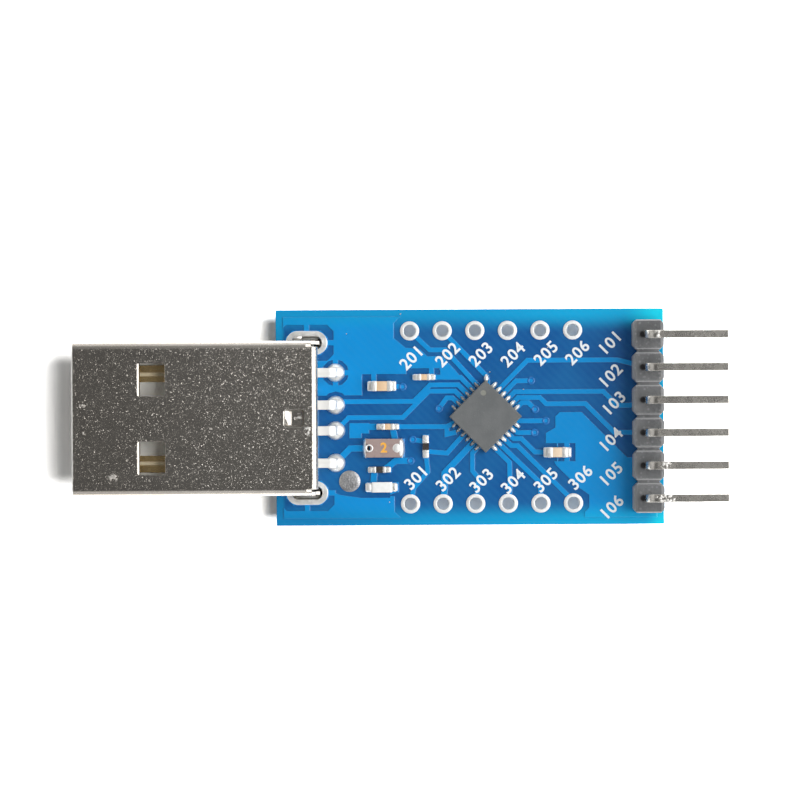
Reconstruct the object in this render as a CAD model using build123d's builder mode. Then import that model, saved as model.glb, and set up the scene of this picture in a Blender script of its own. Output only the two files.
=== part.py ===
from build123d import *
import os
from dataclasses import dataclass
from math import cos, radians, sin

# A USB to serial adapter: a small circuit board with a USB-A plug on its left end and a bent
# six-pin header on its right end. X runs from the plug to the header, Y runs across the board and
# Z is up. The origin is under the middle of the whole length, level with the ends of the solder
# tails, on which the adapter rests. Places on the board are measured from the middle of its left
# edge. All sizes are in millimetres.

# Whole adapter
plug_overhang = 15.7  # from the plug's front to the board's left edge
pin_reach = 5.0  # from the board's right edge to the pin tips
underside_reach = 1.4  # from the board's underside to the ends of the tails and tabs

# Board
board_length = 30.2
board_width = 16.8
board_thickness = 1.6
copper_height = 0.05  # copper under its mask, above the bare board
copper_border = 0.55  # bare strip along the board's edges
copper_gap = 0.3  # bare strip between neighbouring copper
track_width = 0.38
wide_track_width = 0.5
spoke_width = 0.42  # bridge from a copper area to a solder pad
spoke_overlap = 0.1  # of a bridge over the copper at each of its ends
area_row_gap = 0.49  # from the left copper area to the first holes' pads

# Plated holes
pin_pitch = 2.54
hole_radius = 0.5
pad_radius = 0.75
pad_sides = 12  # sides of a copper pad
small_sides = 8  # sides of a via's disc and of a hole that is filled with solder
row_holes = 6
row_start = 10.44  # first hole of each row
row_y = 6.74
via_radius = 0.3
test_pad_place = (5.71, -4.95)
test_pad_radius = 0.825

# Plug shell, one folded sheet
plug_overlap = 3.3  # from the board's left edge to the rear flap
shell_width = 12.0
shell_height = 4.5
sheet = 0.3
fold_radius = 0.65  # outside of the long folds
flap_radius = 0.5  # outside of the rear fold
flap_side_setback = 0.5  # from the shell's side to the flap's edge
flap_relief = 0.25  # width of the relief notches beside the flap
flap_relief_depth = 0.4
side_wall_setback = 0.2  # side walls end this far ahead of the flap's face
window_length = 2.2
window_width = 2.55
window_setback = 5.0  # from the plug's front to the windows
window_y = 3.035
window_corner = 0.15
lance_length = 1.6  # opening of the tongue pressed in from the top sheet
lance_width = 1.35
lance_setback = 1.04  # from the flap's face to the opening
lance_clearance = 0.08
lance_slope = 0.6  # length of the tongue's slope
lance_drop = 0.6
tab_length = 2.0
tab_setback = 0.9  # from the flap's face to the middle of the tabs
tab_relief = 0.25
tab_taper = 0.35
tab_tip_height = 1.0  # tapered end of the tabs
seam_gap = 0.08
seam_key_length = 1.8
seam_key_depth = 0.8
seam_key_flare = 0.25
seam_key_setbacks = (2.4, 8.9)  # from the plug's front to each key

# Slots in the board for the shell's tabs
slot_length = 2.4
slot_width = 1.0
slot_pad_margin = 0.45
slot_pad_gap = 0.45
slot_corner = 0.32  # cut off each corner of the slots, pads and gaps
slot_pad_corner = 0.55
slot_gap_corner = 0.5

# Insulator
insulator_clearance = 0.15  # from the insulator's side to the shell's wall
tongue_thickness = 1.95
tongue_setback = 0.3
tongue_lead_in = 0.35
block_setback = 12.0  # from the plug's front to the full-height block

# Contacts, numbered from +Y to -Y
contact_rows = (3.51, 1.0, -1.0, -3.51)
contact_widths = (1.3, 1.0, 1.0, 1.3)
contact_setbacks = (1.1, 2.1, 2.1, 1.1)  # from the tongue's front to the contact
contact_thickness = 0.3
contact_proud = 0.05
contact_tip_chamfer = 0.12
tail_width = 0.72
tail_neck = 0.7  # wide part ends this far ahead of the flap's face
tail_run = 1.34  # from the flap's face to the tail's vertical leg
tail_bend_radius = 0.5
tail_tip = 0.1
flap_clearance = 0.1  # between the flap's lower edge and the tails

# Header
header_pins = 6
header_setback = 1.25  # from the board's right edge to the pin row
header_depth = 2.44
header_length = 15.0
header_height = 2.54
header_notch = 0.42
header_groove_width = 0.45
header_groove_depth = 0.25
header_edge_chamfer = 0.26
pin_size = 0.6
pin_rise = 1.45  # from the header's top to the middle of the pins' horizontal legs
pin_bend_radius = 0.65
pin_tip_chamfer = 0.12

# Chip, turned by 45 degrees
chip_x = 16.32
chip_y = 0.04
chip_size = 4.0
chip_height = 0.85
chip_edge_chamfer = 0.06
terminals_per_side = 6
terminal_pitch = 0.5
terminal_width = 0.25
terminal_length = 0.4
terminal_height = 0.2
thermal_pad_size = 2.5
chip_land_width = 0.3
chip_land_reach = 0.45  # beyond the package's side
chip_solder_height = 0.22
bead_place = (16.42, 3.18)
bead_radius = 0.28
bead_height = 0.15
bead_taper = 40  # degrees

# Solder
fillet_hollow = (0.4, 0.45)  # middle of a fillet's face, as shares of its reach and height
solder_climb = 0.7  # share of a small part's height
joint_foot = 0.69  # radius of a solder cone where it meets its pad
joint_tip = 0.5
joint_rise = 0.5
under_joint_drop = 0.75
slot_fill = 0.7  # depth of solder in the slots, from the underside up
slot_joint_margin = 0.35
slot_joint_drop = 0.5
slot_joint_taper = 25  # degrees
slot_joint_corner = 0.5

# Derived levels and places
board_left = (plug_overhang - pin_reach - board_length) / 2
board_bottom = underside_reach
board_top = board_bottom + board_thickness
seat = board_top + copper_height
plug_front = board_left - plug_overhang
plug_rear = board_left + plug_overlap
shell_top = seat + shell_height
shell_middle = seat + shell_height / 2
shell_floor = seat + sheet
shell_ceiling = shell_top - sheet
side_wall_y = (shell_width - sheet) / 2
flap_width = shell_width - 2 * flap_side_setback
insulator_width = shell_width - 2 * (sheet + insulator_clearance)
tab_x = plug_overlap - tab_setback
tail_x = plug_overlap + tail_run
contact_top = shell_floor + tongue_thickness + contact_proud
contact_bottom = contact_top - contact_thickness
flap_end = contact_top + flap_clearance
header_x = board_length - header_setback
header_top = seat + header_height
pin_level = header_top + pin_rise
row_x = [row_start + pin_pitch * i for i in range(row_holes)]
pin_y = [pin_pitch * ((header_pins - 1) / 2 - i) for i in range(header_pins)]
upper_row = [(x, row_y) for x in row_x]
lower_row = [(x, -row_y) for x in row_x]
header_row = [(header_x, y) for y in pin_y]
contact_row = [(tail_x, y) for y in contact_rows]
tab_slots = [(tab_x, side_wall_y), (tab_x, -side_wall_y)]
vias = [
    (12.69, 0.67),
    (19.88, 2.81),
    (20.19, 0.57),
    (21.02, -0.32),
    (20.13, -1.23),
    (10.64, -1.73),
    (10.47, -3.38),
    (9.87, 2.39),
]


@dataclass(frozen=True)
class EndSolderedPart:
    """Place and sizes of a small part that is soldered at its two ends."""

    x: float
    y: float
    length: float
    width: float
    height: float
    band: float
    solder: float
    turn: float = 0

    def plane(self, level=seat):
        """Plane on the copper under the part, with its X along the part."""
        along = (cos(radians(self.turn)), sin(radians(self.turn)), 0)
        return Plane(origin=(board_left + self.x, self.y, level), x_dir=along, z_dir=(0, 0, 1))

    def end(self, side):
        """Middle of one end in board coordinates; side is -1 or 1."""
        reach = side * (self.length - self.band) / 2
        return (
            self.x + reach * cos(radians(self.turn)),
            self.y + reach * sin(radians(self.turn)),
        )


capacitors = [
    EndSolderedPart(8.25, 2.45, 1.6, 0.8, 0.8, 0.4, 0.33),
    EndSolderedPart(11.55, 3.13, 1.0, 0.5, 0.5, 0.28, 0.45),
    EndSolderedPart(8.7, -0.72, 1.0, 0.5, 0.5, 0.28, 0.45),
    EndSolderedPart(21.9, -2.78, 1.6, 0.8, 0.8, 0.45, 0.3),
]
resistors = [
    EndSolderedPart(8.03, -4.06, 1.0, 0.5, 0.35, 0.25, 0.45),
    EndSolderedPart(11.65, -2.28, 1.0, 0.5, 0.35, 0.25, 0.45, 90),
]
resistor_coat = 0.05
lamp = EndSolderedPart(8.22, -5.43, 1.6, 0.8, 0.6, 0.22, 0.5)
lamp_base_height = 0.25
lamp_lens_taper = 0.08
fuse = EndSolderedPart(8.38, -2.38, 2.8, 1.45, 0.7, 0.35, 0.22)
fuse_notch_radius = 0.36
fuse_plating = 0.12
small_parts = capacitors + resistors + [lamp, fuse]


def chip_point(terminal, reach):
    """Place on a chip terminal's centre line, in board coordinates.

    Terminals count anticlockwise from the package's top corner; reach is measured from the
    package's middle.
    """
    side, place = divmod(terminal - 1, terminals_per_side)
    outward = radians(135 + 90 * side)
    sideways = (place - (terminals_per_side - 1) / 2) * terminal_pitch
    return (
        chip_x + reach * cos(outward) - sideways * sin(outward),
        chip_y + reach * sin(outward) + sideways * cos(outward),
    )


def chip_plane(level):
    """Plane with its axes along the chip's sides."""
    return Plane(origin=(board_left + chip_x, chip_y, level), x_dir=(1, 1, 0), z_dir=(0, 0, 1))


def board_plane(level):
    """Plane measured from the middle of the board's left edge."""
    return Plane(origin=(board_left, 0, level))


def under_board_plane():
    """Plane on the board's underside that faces down, with its X along the board."""
    return Plane(origin=(board_left, 0, board_bottom), x_dir=(1, 0, 0), z_dir=(0, 0, -1))


def side_plane(y):
    """Upright plane along the board, at a given distance across it."""
    return Plane.XZ.offset(-y)


# Copper on the board's top face. Tracks are straight runs with the bends that the board shows.
land = chip_size / 2 - terminal_length  # inner end of each land, from the chip's middle
first_track = [upper_row[0], (12.0, 5.25), (13.2, 5.25), chip_point(1, land)]
ground_link = [capacitors[1].end(1), (14.4, 3.1), chip_point(2, land)]
tracks = [
    first_track,
    [upper_row[1], bead_place, chip_point(24, land)],
    [chip_point(3, land), (14.2, 2.52), (12.0, 2.52), (10.73, 1.25), (5.0, 1.25), contact_row[1]],
    [chip_point(4, land), (13.95, 2.03), (11.9, 2.03), (9.87, 0.0), (5.65, 0.0), contact_row[2]],
    [chip_point(5, land), (13.75, 1.5), (13.3, 1.5), vias[0]],
    [capacitors[2].end(1), (13.3, -0.73), chip_point(7, land)],
    [(13.3, -0.73), (13.3, -1.33), chip_point(8, chip_size / 2 + chip_land_reach)],
    [chip_point(9, land), (13.3, -2.8), resistors[1].end(-1)],
    [chip_point(12, land), (15.28, -2.8), (15.28, -4.2), (15.75, -4.75), lower_row[2]],
    [chip_point(13, land), (18.17, -3.55), (18.2, -5.7), lower_row[3]],
    [chip_point(14, land), (20.55, -5.15), lower_row[4]],
    [chip_point(15, land), (18.3, -2.23), (18.8, -2.25), (22.7, -6.15), lower_row[5]],
    [chip_point(16, land), (18.5, -1.7), (19.1, -1.7), (20.15, -2.75), capacitors[3].end(-1)],
    [chip_point(17, land), (18.8, -1.23), vias[4]],
    [chip_point(18, land), (19.1, -0.32), vias[3]],
    [chip_point(19, land), (19.15, 1.1), (19.65, 1.1), vias[2]],
    [chip_point(20, land), (18.85, 1.5), (20.55, 1.5), (21.05, 1.0), (header_x - 4.85, 1.0),
     (header_x - 2.6, -1.25), header_row[3]],
    [chip_point(21, land), (18.6, 1.95), (header_x - 3.45, 1.95), (header_x - 2.35, 0.85),
     (header_x - 1.35, 0.85), header_row[2]],
    [chip_point(22, land), (18.7, 2.8), vias[1]],
    [chip_point(23, land), (19.6, 4.4), (header_x - 2.35, 4.4), header_row[1]],
    [resistors[1].end(-1), (11.8, -4.25), (10.7, -5.5), lower_row[0]],
    [vias[5], resistors[1].end(1)],
    [capacitors[0].end(1), vias[7]],
]
wide_tracks = [
    [chip_point(11, chip_size / 2), (13.1, -4.35), (13.1, -5.6), lower_row[1]],
    [contact_row[3], (5.75, -2.4), fuse.end(-1)],
    [capacitors[2].end(1), (9.33, -2.0)],
    [resistors[0].end(1), (9.3, -3.38), vias[6]],
    [resistors[0].end(-1), lamp.end(-1)],
]

# Copper areas, as outlines on the board. Their gaps to tracks and pads are cut afterwards.
area_edge_y = board_width / 2 - copper_border
area_right = row_x[0] - pad_radius - area_row_gap
left_area = [
    (copper_border, area_edge_y),
    (area_right + 0.5, area_edge_y),
    (area_right, area_edge_y - 0.5),
    (area_right, row_y - 0.55),
    (area_right + 0.9, row_y - 1.3),
    first_track[1],
    first_track[2],
    (14.6, 3.65),
    (14.0, 3.1),
    (12.75, 3.1),
    (12.75, 3.82),
    (10.17, 3.82),
    (10.17, 3.38),
    (6.72, 3.38),
    (6.72, 1.72),
    (plug_overlap, 1.72),
    (plug_overlap, -5.2),
    (4.05, -5.6),
    (4.9, -6.0),
    (6.6, -6.25),
    (8.85, -6.25),
    (8.85, -5.75),
    (area_right, -5.75),
    (area_right, 0.5 - area_edge_y),
    (area_right + 0.5, -area_edge_y),
    (copper_border, -area_edge_y),
]
last_hole_x = row_x[-1]
right_area = [
    (21.0, -1.28),
    (21.75, -0.85),
    (21.75, 0.0),
    (22.1, 0.35),
    (header_x - 5.15, 0.35),
    (header_x - 1.6, -3.2),
    (board_length - copper_border, -3.2),
    (board_length - copper_border, -area_edge_y),
    (last_hole_x + 0.86, -area_edge_y),
    (last_hole_x + 0.86, 0.4 - area_edge_y),
    (last_hole_x + 1.22, 0.75 - area_edge_y),
    (last_hole_x + 1.22, 0.64 - row_y),
    (last_hole_x + 0.36, 1.24 - row_y),
    (21.8, -3.8),
    (21.0, -2.4),
]
input_area = [
    (5.7, -0.42),
    (7.25, -0.42),
    (7.25, -1.24),
    (6.65, -1.24),
    (6.65, -1.6),
    (5.7, -1.6),
]


def cut_corners(length, width, corner):
    """Corners of a rectangle with its corners cut off at 45 degrees."""
    x, y = length / 2, width / 2
    return [
        (x - corner, -y),
        (x, corner - y),
        (x, y - corner),
        (x - corner, y),
        (corner - x, y),
        (-x, y - corner),
        (-x, corner - y),
        (corner - x, -y),
    ]


def draw_area(points, mode=Mode.ADD):
    """Draw a closed outline through the points in the open sketch."""
    with BuildLine() as outline:
        Polyline(*points, close=True)
    make_face(outline.edges(), mode=mode)


def draw_track(points, width, mode=Mode.ADD):
    """Draw a flat-ended track of one width, with mitred bends, in the open sketch."""
    middle = [Vector(*point) for point in points]
    runs = [(end - start).normalized() for start, end in zip(middle, middle[1:])]
    sideways = [Vector(-run.Y, run.X) for run in runs]
    mitres = [(near + far) / (1 + near.dot(far)) for near, far in zip(sideways, sideways[1:])]
    steps = [step * (width / 2) for step in [sideways[0], *mitres, sideways[-1]]]
    left = [point + step for point, step in zip(middle, steps)]
    right = [point - step for point, step in zip(middle, steps)]
    draw_area(left + right[::-1], mode)


def draw_lands(margin, mode=Mode.ADD):
    """Draw the lands under the ends of the small parts, grown by a margin."""
    for part in small_parts:
        for side in (-1, 1):
            reach = side * (part.length + part.solder - part.band) / 2
            x = part.x + reach * cos(radians(part.turn))
            y = part.y + reach * sin(radians(part.turn))
            with Locations(Location((x, y, 0), (0, 0, part.turn))):
                Rectangle(part.band + part.solder + 2 * margin, part.width + 2 * margin, mode=mode)


def draw_chip_lands():
    """Draw the lands of the chip's terminals."""
    for terminal in range(1, 4 * terminals_per_side + 1):
        x, y = chip_point(terminal, (chip_size - terminal_length + chip_land_reach) / 2)
        side = (terminal - 1) // terminals_per_side
        with Locations(Location((x, y, 0), (0, 0, 135 + 90 * side))):
            Rectangle(terminal_length + chip_land_reach, chip_land_width)


def draw_spokes():
    """Draw the bridges between the copper areas and the pads inside them."""
    with Locations(*tab_slots):
        Rectangle(spoke_width, slot_width + 2 * (slot_pad_margin + slot_pad_gap + spoke_overlap))
        Rectangle(slot_length + 2 * (slot_pad_margin + slot_pad_gap + spoke_overlap), spoke_width)
    with Locations(contact_row[0], header_row[-1]):
        Rectangle(spoke_width, 2 * (pad_radius + copper_gap + spoke_overlap))
        Rectangle(2 * (pad_radius + copper_gap + spoke_overlap), spoke_width)
    with Locations((7.63, 3.1), (12.13, 3.5)):
        Rectangle(spoke_width, 0.9)
    with Locations((22.65, capacitors[3].y)):
        Rectangle(spoke_width, 2.1)


def draw_top_copper():
    """Draw all copper of the top face: areas, gaps, bridges, tracks, lands and pads."""
    draw_area(left_area)
    draw_area(right_area)
    for points in tracks:
        draw_track(points, track_width + 2 * copper_gap, Mode.SUBTRACT)
    for points in wide_tracks:
        draw_track(points, wide_track_width + 2 * copper_gap, Mode.SUBTRACT)
    draw_lands(copper_gap, Mode.SUBTRACT)
    with Locations(*contact_row, upper_row[0], lower_row[0], lower_row[-1]):
        RegularPolygon(pad_radius + copper_gap, pad_sides, mode=Mode.SUBTRACT)
    header_gap_size = 2 * (pad_radius + copper_gap)
    with Locations(*header_row):
        Rectangle(header_gap_size, header_gap_size, mode=Mode.SUBTRACT)
    with Locations(*vias):
        RegularPolygon(via_radius + copper_gap, small_sides, mode=Mode.SUBTRACT)
    with Locations(test_pad_place):
        RegularPolygon(test_pad_radius + copper_gap, pad_sides, mode=Mode.SUBTRACT)
    relief_margin = 2 * (slot_pad_margin + slot_pad_gap)
    relief = cut_corners(slot_length + relief_margin, slot_width + relief_margin, slot_gap_corner)
    with Locations(*tab_slots):
        Polygon(*relief, align=None, mode=Mode.SUBTRACT)
    draw_spokes()
    draw_area(input_area)
    draw_track([(7.0, capacitors[2].y), capacitors[2].end(-1)], wide_track_width)
    draw_track([(9.1, lamp.y - 0.5), lamp.end(1)], wide_track_width)
    draw_track(ground_link, track_width)
    for points in tracks:
        draw_track(points, track_width)
    for points in wide_tracks:
        draw_track(points, wide_track_width)
    draw_lands(0)
    draw_chip_lands()
    with Locations(*upper_row, *lower_row, *contact_row):
        RegularPolygon(pad_radius, pad_sides)
    with Locations(*header_row):
        Rectangle(2 * pad_radius, 2 * pad_radius)
    slot_pad = cut_corners(
        slot_length + 2 * slot_pad_margin, slot_width + 2 * slot_pad_margin, slot_pad_corner
    )
    with Locations(*tab_slots):
        Polygon(*slot_pad, align=None)
    with Locations(*vias):
        RegularPolygon(via_radius, small_sides)
    with Locations(test_pad_place):
        RegularPolygon(test_pad_radius, pad_sides)


# Circuit board: the glass board with the relief of its top copper and its drilled holes
with BuildPart() as circuit_board:
    with BuildSketch(board_plane(board_bottom)):
        with Locations((board_length / 2, 0)):
            Rectangle(board_length, board_width)
    extrude(amount=board_thickness)
    with BuildSketch(board_plane(board_top)):
        draw_top_copper()
    extrude(amount=copper_height)
    with BuildSketch(board_plane(board_bottom)):
        with Locations(*upper_row, *lower_row):
            Circle(hole_radius)
        with Locations(*header_row, *contact_row):
            RegularPolygon(hole_radius, small_sides)
        with Locations(*tab_slots):
            Polygon(*cut_corners(slot_length, slot_width, slot_corner), align=None)
    extrude(amount=board_thickness + copper_height, mode=Mode.SUBTRACT)


# Plug shell: a sheet folded into a tube, with a flap folded down behind it
def seam_points():
    """Middle line of the seam under the tube, with its dovetail keys."""
    points = [(plug_front - sheet, 0)]
    for setback in seam_key_setbacks:
        start = plug_front + setback
        points += [
            (start, 0),
            (start - seam_key_flare, seam_key_depth),
            (start + seam_key_length + seam_key_flare, seam_key_depth),
            (start + seam_key_length, 0),
        ]
    return points + [(plug_rear + sheet, 0)]


flap_fold_x = plug_rear - flap_radius
side_wall_end = plug_rear - side_wall_setback
window_x = plug_front + window_setback + window_length / 2
lance_x = plug_rear - lance_setback - lance_length
with BuildPart() as usb_shell:
    with BuildSketch(Plane.YZ.offset(plug_front)):
        with Locations((0, shell_middle)):
            RectangleRounded(shell_width, shell_height, fold_radius)
            RectangleRounded(
                shell_width - 2 * sheet,
                shell_height - 2 * sheet,
                fold_radius - sheet,
                mode=Mode.SUBTRACT,
            )
    extrude(amount=side_wall_end - plug_front)
    # The top sheet ends at the rear fold, and the side walls run on past it
    with BuildSketch(side_plane(0)):
        with Locations((flap_fold_x, shell_top)):
            Rectangle(2 * flap_radius, fold_radius, align=(Align.MIN, Align.MAX))
    extrude(amount=shell_width, both=True, mode=Mode.SUBTRACT)
    for side in (-1, 1):
        with BuildSketch(Plane.XY.offset(shell_ceiling)):
            with Locations((flap_fold_x, side * (flap_width + flap_relief) / 2)):
                Rectangle(flap_relief_depth, flap_relief, align=(Align.MAX, Align.CENTER))
        extrude(amount=sheet, mode=Mode.SUBTRACT)
    # Windows for the socket's springs, in the top and bottom sheets
    with BuildSketch(Plane.XY.offset(seat)):
        with Locations((window_x, window_y), (window_x, -window_y)):
            Polygon(*cut_corners(window_length, window_width, window_corner), align=None)
    extrude(amount=shell_height, mode=Mode.SUBTRACT)
    # Dovetailed seam along the bottom sheet
    with BuildSketch(Plane.XY.offset(seat)):
        draw_track(seam_points(), seam_gap)
    extrude(amount=sheet, mode=Mode.SUBTRACT)
    # Bottom sheet ends beside the tabs, which go straight down from the side walls
    with BuildSketch(board_plane(seat)):
        with Locations(*[(tab_x, side * shell_width / 2) for side in (-1, 1)]):
            Rectangle(tab_length + 2 * tab_relief, 2 * fold_radius)
    extrude(amount=fold_radius, mode=Mode.SUBTRACT)
    for side in (-1, 1):
        with BuildSketch(side_plane(side * side_wall_y)):
            with BuildLine():
                Polyline(
                    (board_left + tab_x - tab_length / 2, seat + fold_radius),
                    (board_left + tab_x - tab_length / 2, tab_tip_height),
                    (board_left + tab_x - tab_length / 2 + tab_taper, 0),
                    (board_left + tab_x + tab_length / 2 - tab_taper, 0),
                    (board_left + tab_x + tab_length / 2, tab_tip_height),
                    (board_left + tab_x + tab_length / 2, seat + fold_radius),
                    close=True,
                )
            make_face()
        extrude(amount=sheet / 2, both=True)
    # Rear flap, folded down from the top sheet
    with BuildSketch(side_plane(0)):
        with BuildLine():
            fold_end = (plug_rear, shell_top - flap_radius)
            outer_fold = RadiusArc((flap_fold_x, shell_top), fold_end, flap_radius)
            outer_face = Line(outer_fold @ 1, (plug_rear, flap_end))
            lower_edge = Line(outer_face @ 1, (plug_rear - sheet, flap_end))
            inner_face = Line(lower_edge @ 1, (plug_rear - sheet, shell_top - flap_radius))
            inner_fold = RadiusArc(inner_face @ 1, (flap_fold_x, shell_ceiling), sheet - flap_radius)
            Line(inner_fold @ 1, outer_fold @ 0)
        make_face()
    extrude(amount=flap_width / 2, both=True)
    # Tongue pressed in from the top sheet, which holds the insulator
    with BuildSketch(Plane.XY.offset(shell_ceiling)):
        with Locations((lance_x + lance_length / 2, 0)):
            Polygon(*cut_corners(lance_length, lance_width, window_corner), align=None)
    extrude(amount=sheet, mode=Mode.SUBTRACT)
    with BuildSketch(side_plane(0)):
        with BuildLine():
            Polyline(
                (lance_x - sheet, shell_top),
                (lance_x, shell_top),
                (lance_x + lance_slope, shell_top - lance_drop),
                (lance_x + lance_length - lance_clearance, shell_top - lance_drop),
                (lance_x + lance_length - lance_clearance, shell_ceiling - lance_drop),
                (lance_x + lance_slope, shell_ceiling - lance_drop),
                (lance_x, shell_ceiling),
                (lance_x - sheet, shell_ceiling),
                close=True,
            )
        make_face()
    extrude(amount=lance_width / 2 - lance_clearance, both=True)


# Insulator: a tongue in the plug's lower half and a block that fills the tube behind it
block_front = plug_front + block_setback
tongue_front = plug_front + tongue_setback
tongue_top = shell_floor + tongue_thickness
insulator_rear = plug_rear - sheet
neck_x = plug_rear - tail_neck


def cut_contact_way(y, width, x_from, x_to):
    """Cut the way of a contact through the insulator."""
    with BuildSketch(Plane.XY.offset(contact_bottom)) as way:
        with Locations((x_from, y)):
            Rectangle(x_to - x_from, width, align=(Align.MIN, Align.CENTER))
    extrude(way.sketch, amount=contact_thickness, mode=Mode.SUBTRACT)


with BuildPart() as usb_insulator:
    with BuildSketch(side_plane(0)):
        with BuildLine():
            Polyline(
                (tongue_front, shell_floor),
                (tongue_front, tongue_top - tongue_lead_in),
                (tongue_front + tongue_lead_in, tongue_top),
                (block_front, tongue_top),
                (block_front, shell_ceiling),
                (insulator_rear - flap_radius + sheet, shell_ceiling),
                (insulator_rear, shell_top - flap_radius),
                (insulator_rear, shell_floor),
                close=True,
            )
        make_face()
    extrude(amount=insulator_width / 2, both=True)
    # The long edges clear the round folds of the shell
    level_edges = usb_insulator.edges().filter_by(Axis.X).group_by(Axis.Z)
    chamfer(level_edges[0] + level_edges[-1], fold_radius - (shell_width - insulator_width) / 2)
    for y, width, setback in zip(contact_rows, contact_widths, contact_setbacks):
        cut_contact_way(y, width, tongue_front + setback, neck_x)
        cut_contact_way(y, tail_width, neck_x, insulator_rear)
    with BuildSketch(Plane.XY.offset(shell_ceiling)):
        with Locations((lance_x, 0)):
            Rectangle(lance_length, lance_width, align=(Align.MIN, Align.CENTER))
    extrude(amount=-lance_drop, mode=Mode.SUBTRACT)


# Contacts and pins: bars with one round bend
def draw_bent_bar(leg_x, leg_end, run_level, run_end, thickness, bend_radius):
    """Draw the side of a bar with an upright leg, one bend and a level run."""
    toward = 1 if run_end > leg_x else -1
    near = leg_x - toward * thickness / 2
    far = leg_x + toward * thickness / 2
    bend_x = leg_x + toward * bend_radius
    bend_z = run_level - bend_radius
    with BuildLine() as outline:
        outer_leg = Line((near, leg_end), (near, bend_z))
        outer_bend = TangentArc(
            outer_leg @ 1, (bend_x, run_level + thickness / 2), tangent=outer_leg % 1
        )
        outer_run = Line(outer_bend @ 1, (run_end, run_level + thickness / 2))
        run_tip = Line(outer_run @ 1, (run_end, run_level - thickness / 2))
        inner_run = Line(run_tip @ 1, (bend_x, run_level - thickness / 2))
        inner_bend = TangentArc(inner_run @ 1, (far, bend_z), tangent=inner_run % 1)
        inner_leg = Line(inner_bend @ 1, (far, leg_end))
        Line(inner_leg @ 1, outer_leg @ 0)
    make_face(outline.edges())


def make_contact(y, width, setback):
    """One stamped contact: a wide strip on the tongue and a narrow bent solder tail."""
    with BuildPart() as contact:
        with BuildSketch(Plane.XY.offset(contact_bottom)):
            with Locations((tongue_front + setback, y)):
                Rectangle(
                    neck_x - tongue_front - setback, width, align=(Align.MIN, Align.CENTER)
                )
        extrude(amount=contact_thickness)
        tip_edge = contact.edges().filter_by(Axis.Y).group_by(Axis.Z)[-1].sort_by(Axis.X)[0]
        chamfer(tip_edge, contact_tip_chamfer)
        with BuildSketch(side_plane(y)):
            draw_bent_bar(
                board_left + tail_x,
                0,
                contact_bottom + contact_thickness / 2,
                neck_x,
                contact_thickness,
                tail_bend_radius,
            )
        extrude(amount=tail_width / 2, both=True)
        chamfer(contact.faces().sort_by(Axis.Z)[0].edges(), tail_tip)
    return contact


def make_header_pin(y):
    """One square pin, through the header and the board and bent over to the right."""
    with BuildPart() as pin:
        with BuildSketch(side_plane(y)):
            draw_bent_bar(
                board_left + header_x,
                0,
                pin_level,
                board_left + board_length + pin_reach,
                pin_size,
                pin_bend_radius,
            )
        extrude(amount=pin_size / 2, both=True)
        chamfer(pin.faces().sort_by(Axis.X)[-1].edges(), pin_tip_chamfer)
        chamfer(pin.faces().sort_by(Axis.Z)[0].edges(), pin_tip_chamfer)
    return pin


usb_contacts = [
    make_contact(y, width, setback)
    for y, width, setback in zip(contact_rows, contact_widths, contact_setbacks)
]
header_pin_parts = [make_header_pin(y) for y in pin_y]


# Header body: six eight-sided blocks in a row, with grooves across the top between them
with BuildPart() as header_body:
    with BuildSketch(board_plane(seat)):
        with Locations(*header_row):
            Polygon(*cut_corners(header_depth, pin_pitch, header_notch), align=None)
        with Locations((header_x, 0)):
            Rectangle(header_depth, header_length, mode=Mode.INTERSECT)
        with Locations(*header_row):
            Rectangle(pin_size, pin_size, mode=Mode.SUBTRACT)
    extrude(amount=header_height)
    with BuildSketch(board_plane(header_top)):
        for upper, lower in zip(pin_y, pin_y[1:]):
            with Locations((header_x, (upper + lower) / 2)):
                Rectangle(header_depth, header_groove_width)
    extrude(amount=-header_groove_depth, mode=Mode.SUBTRACT)
    long_edges = header_body.edges().filter_by(Axis.Y).group_by(Axis.Z)[-1].group_by(Axis.X)
    chamfer(long_edges[0] + long_edges[-1], header_edge_chamfer)


# Chip: moulded package with flush terminals round its underside
def draw_terminals():
    """Draw the side terminals in the open sketch on the chip's plane."""
    with PolarLocations(0, 4):
        with Locations((chip_size / 2 - terminal_length / 2, 0)):
            with GridLocations(0, terminal_pitch, 1, terminals_per_side):
                Rectangle(terminal_length, terminal_width)


with BuildPart() as chip_terminals:
    with BuildSketch(chip_plane(seat)):
        draw_terminals()
        Rectangle(thermal_pad_size, thermal_pad_size)
    extrude(amount=terminal_height)

with BuildPart() as chip_body:
    with BuildSketch(chip_plane(seat)):
        Rectangle(chip_size, chip_size)
    extrude(amount=chip_height)
    chamfer(chip_body.faces().sort_by(Axis.Z)[-1].edges(), chip_edge_chamfer)
    add(chip_terminals.part, mode=Mode.SUBTRACT)


def solder_wedge(reach, height):
    """Corners of a solder fillet's side, from the wall it climbs to the edge of its land."""
    hollow = (fillet_hollow[0] * reach, fillet_hollow[1] * height)
    return [(0, 0), (reach, 0), hollow, (0, height)]


with BuildPart() as chip_solder:
    for terminal in range(1, 4 * terminals_per_side + 1):
        x, y = chip_point(terminal, chip_size / 2)
        outward = radians(135 + 90 * ((terminal - 1) // terminals_per_side))
        side = Plane(
            origin=(board_left + x, y, seat),
            x_dir=(cos(outward), sin(outward), 0),
            z_dir=(sin(outward), -cos(outward), 0),
        )
        with BuildSketch(side):
            Polygon(*solder_wedge(chip_land_reach, chip_solder_height), align=None)
        extrude(amount=terminal_width / 2, both=True)

with BuildPart() as trace_solder_bead:
    with BuildSketch(board_plane(seat)):
        with Locations(bead_place):
            RegularPolygon(bead_radius, pad_sides)
    extrude(amount=bead_height, taper=bead_taper)


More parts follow.
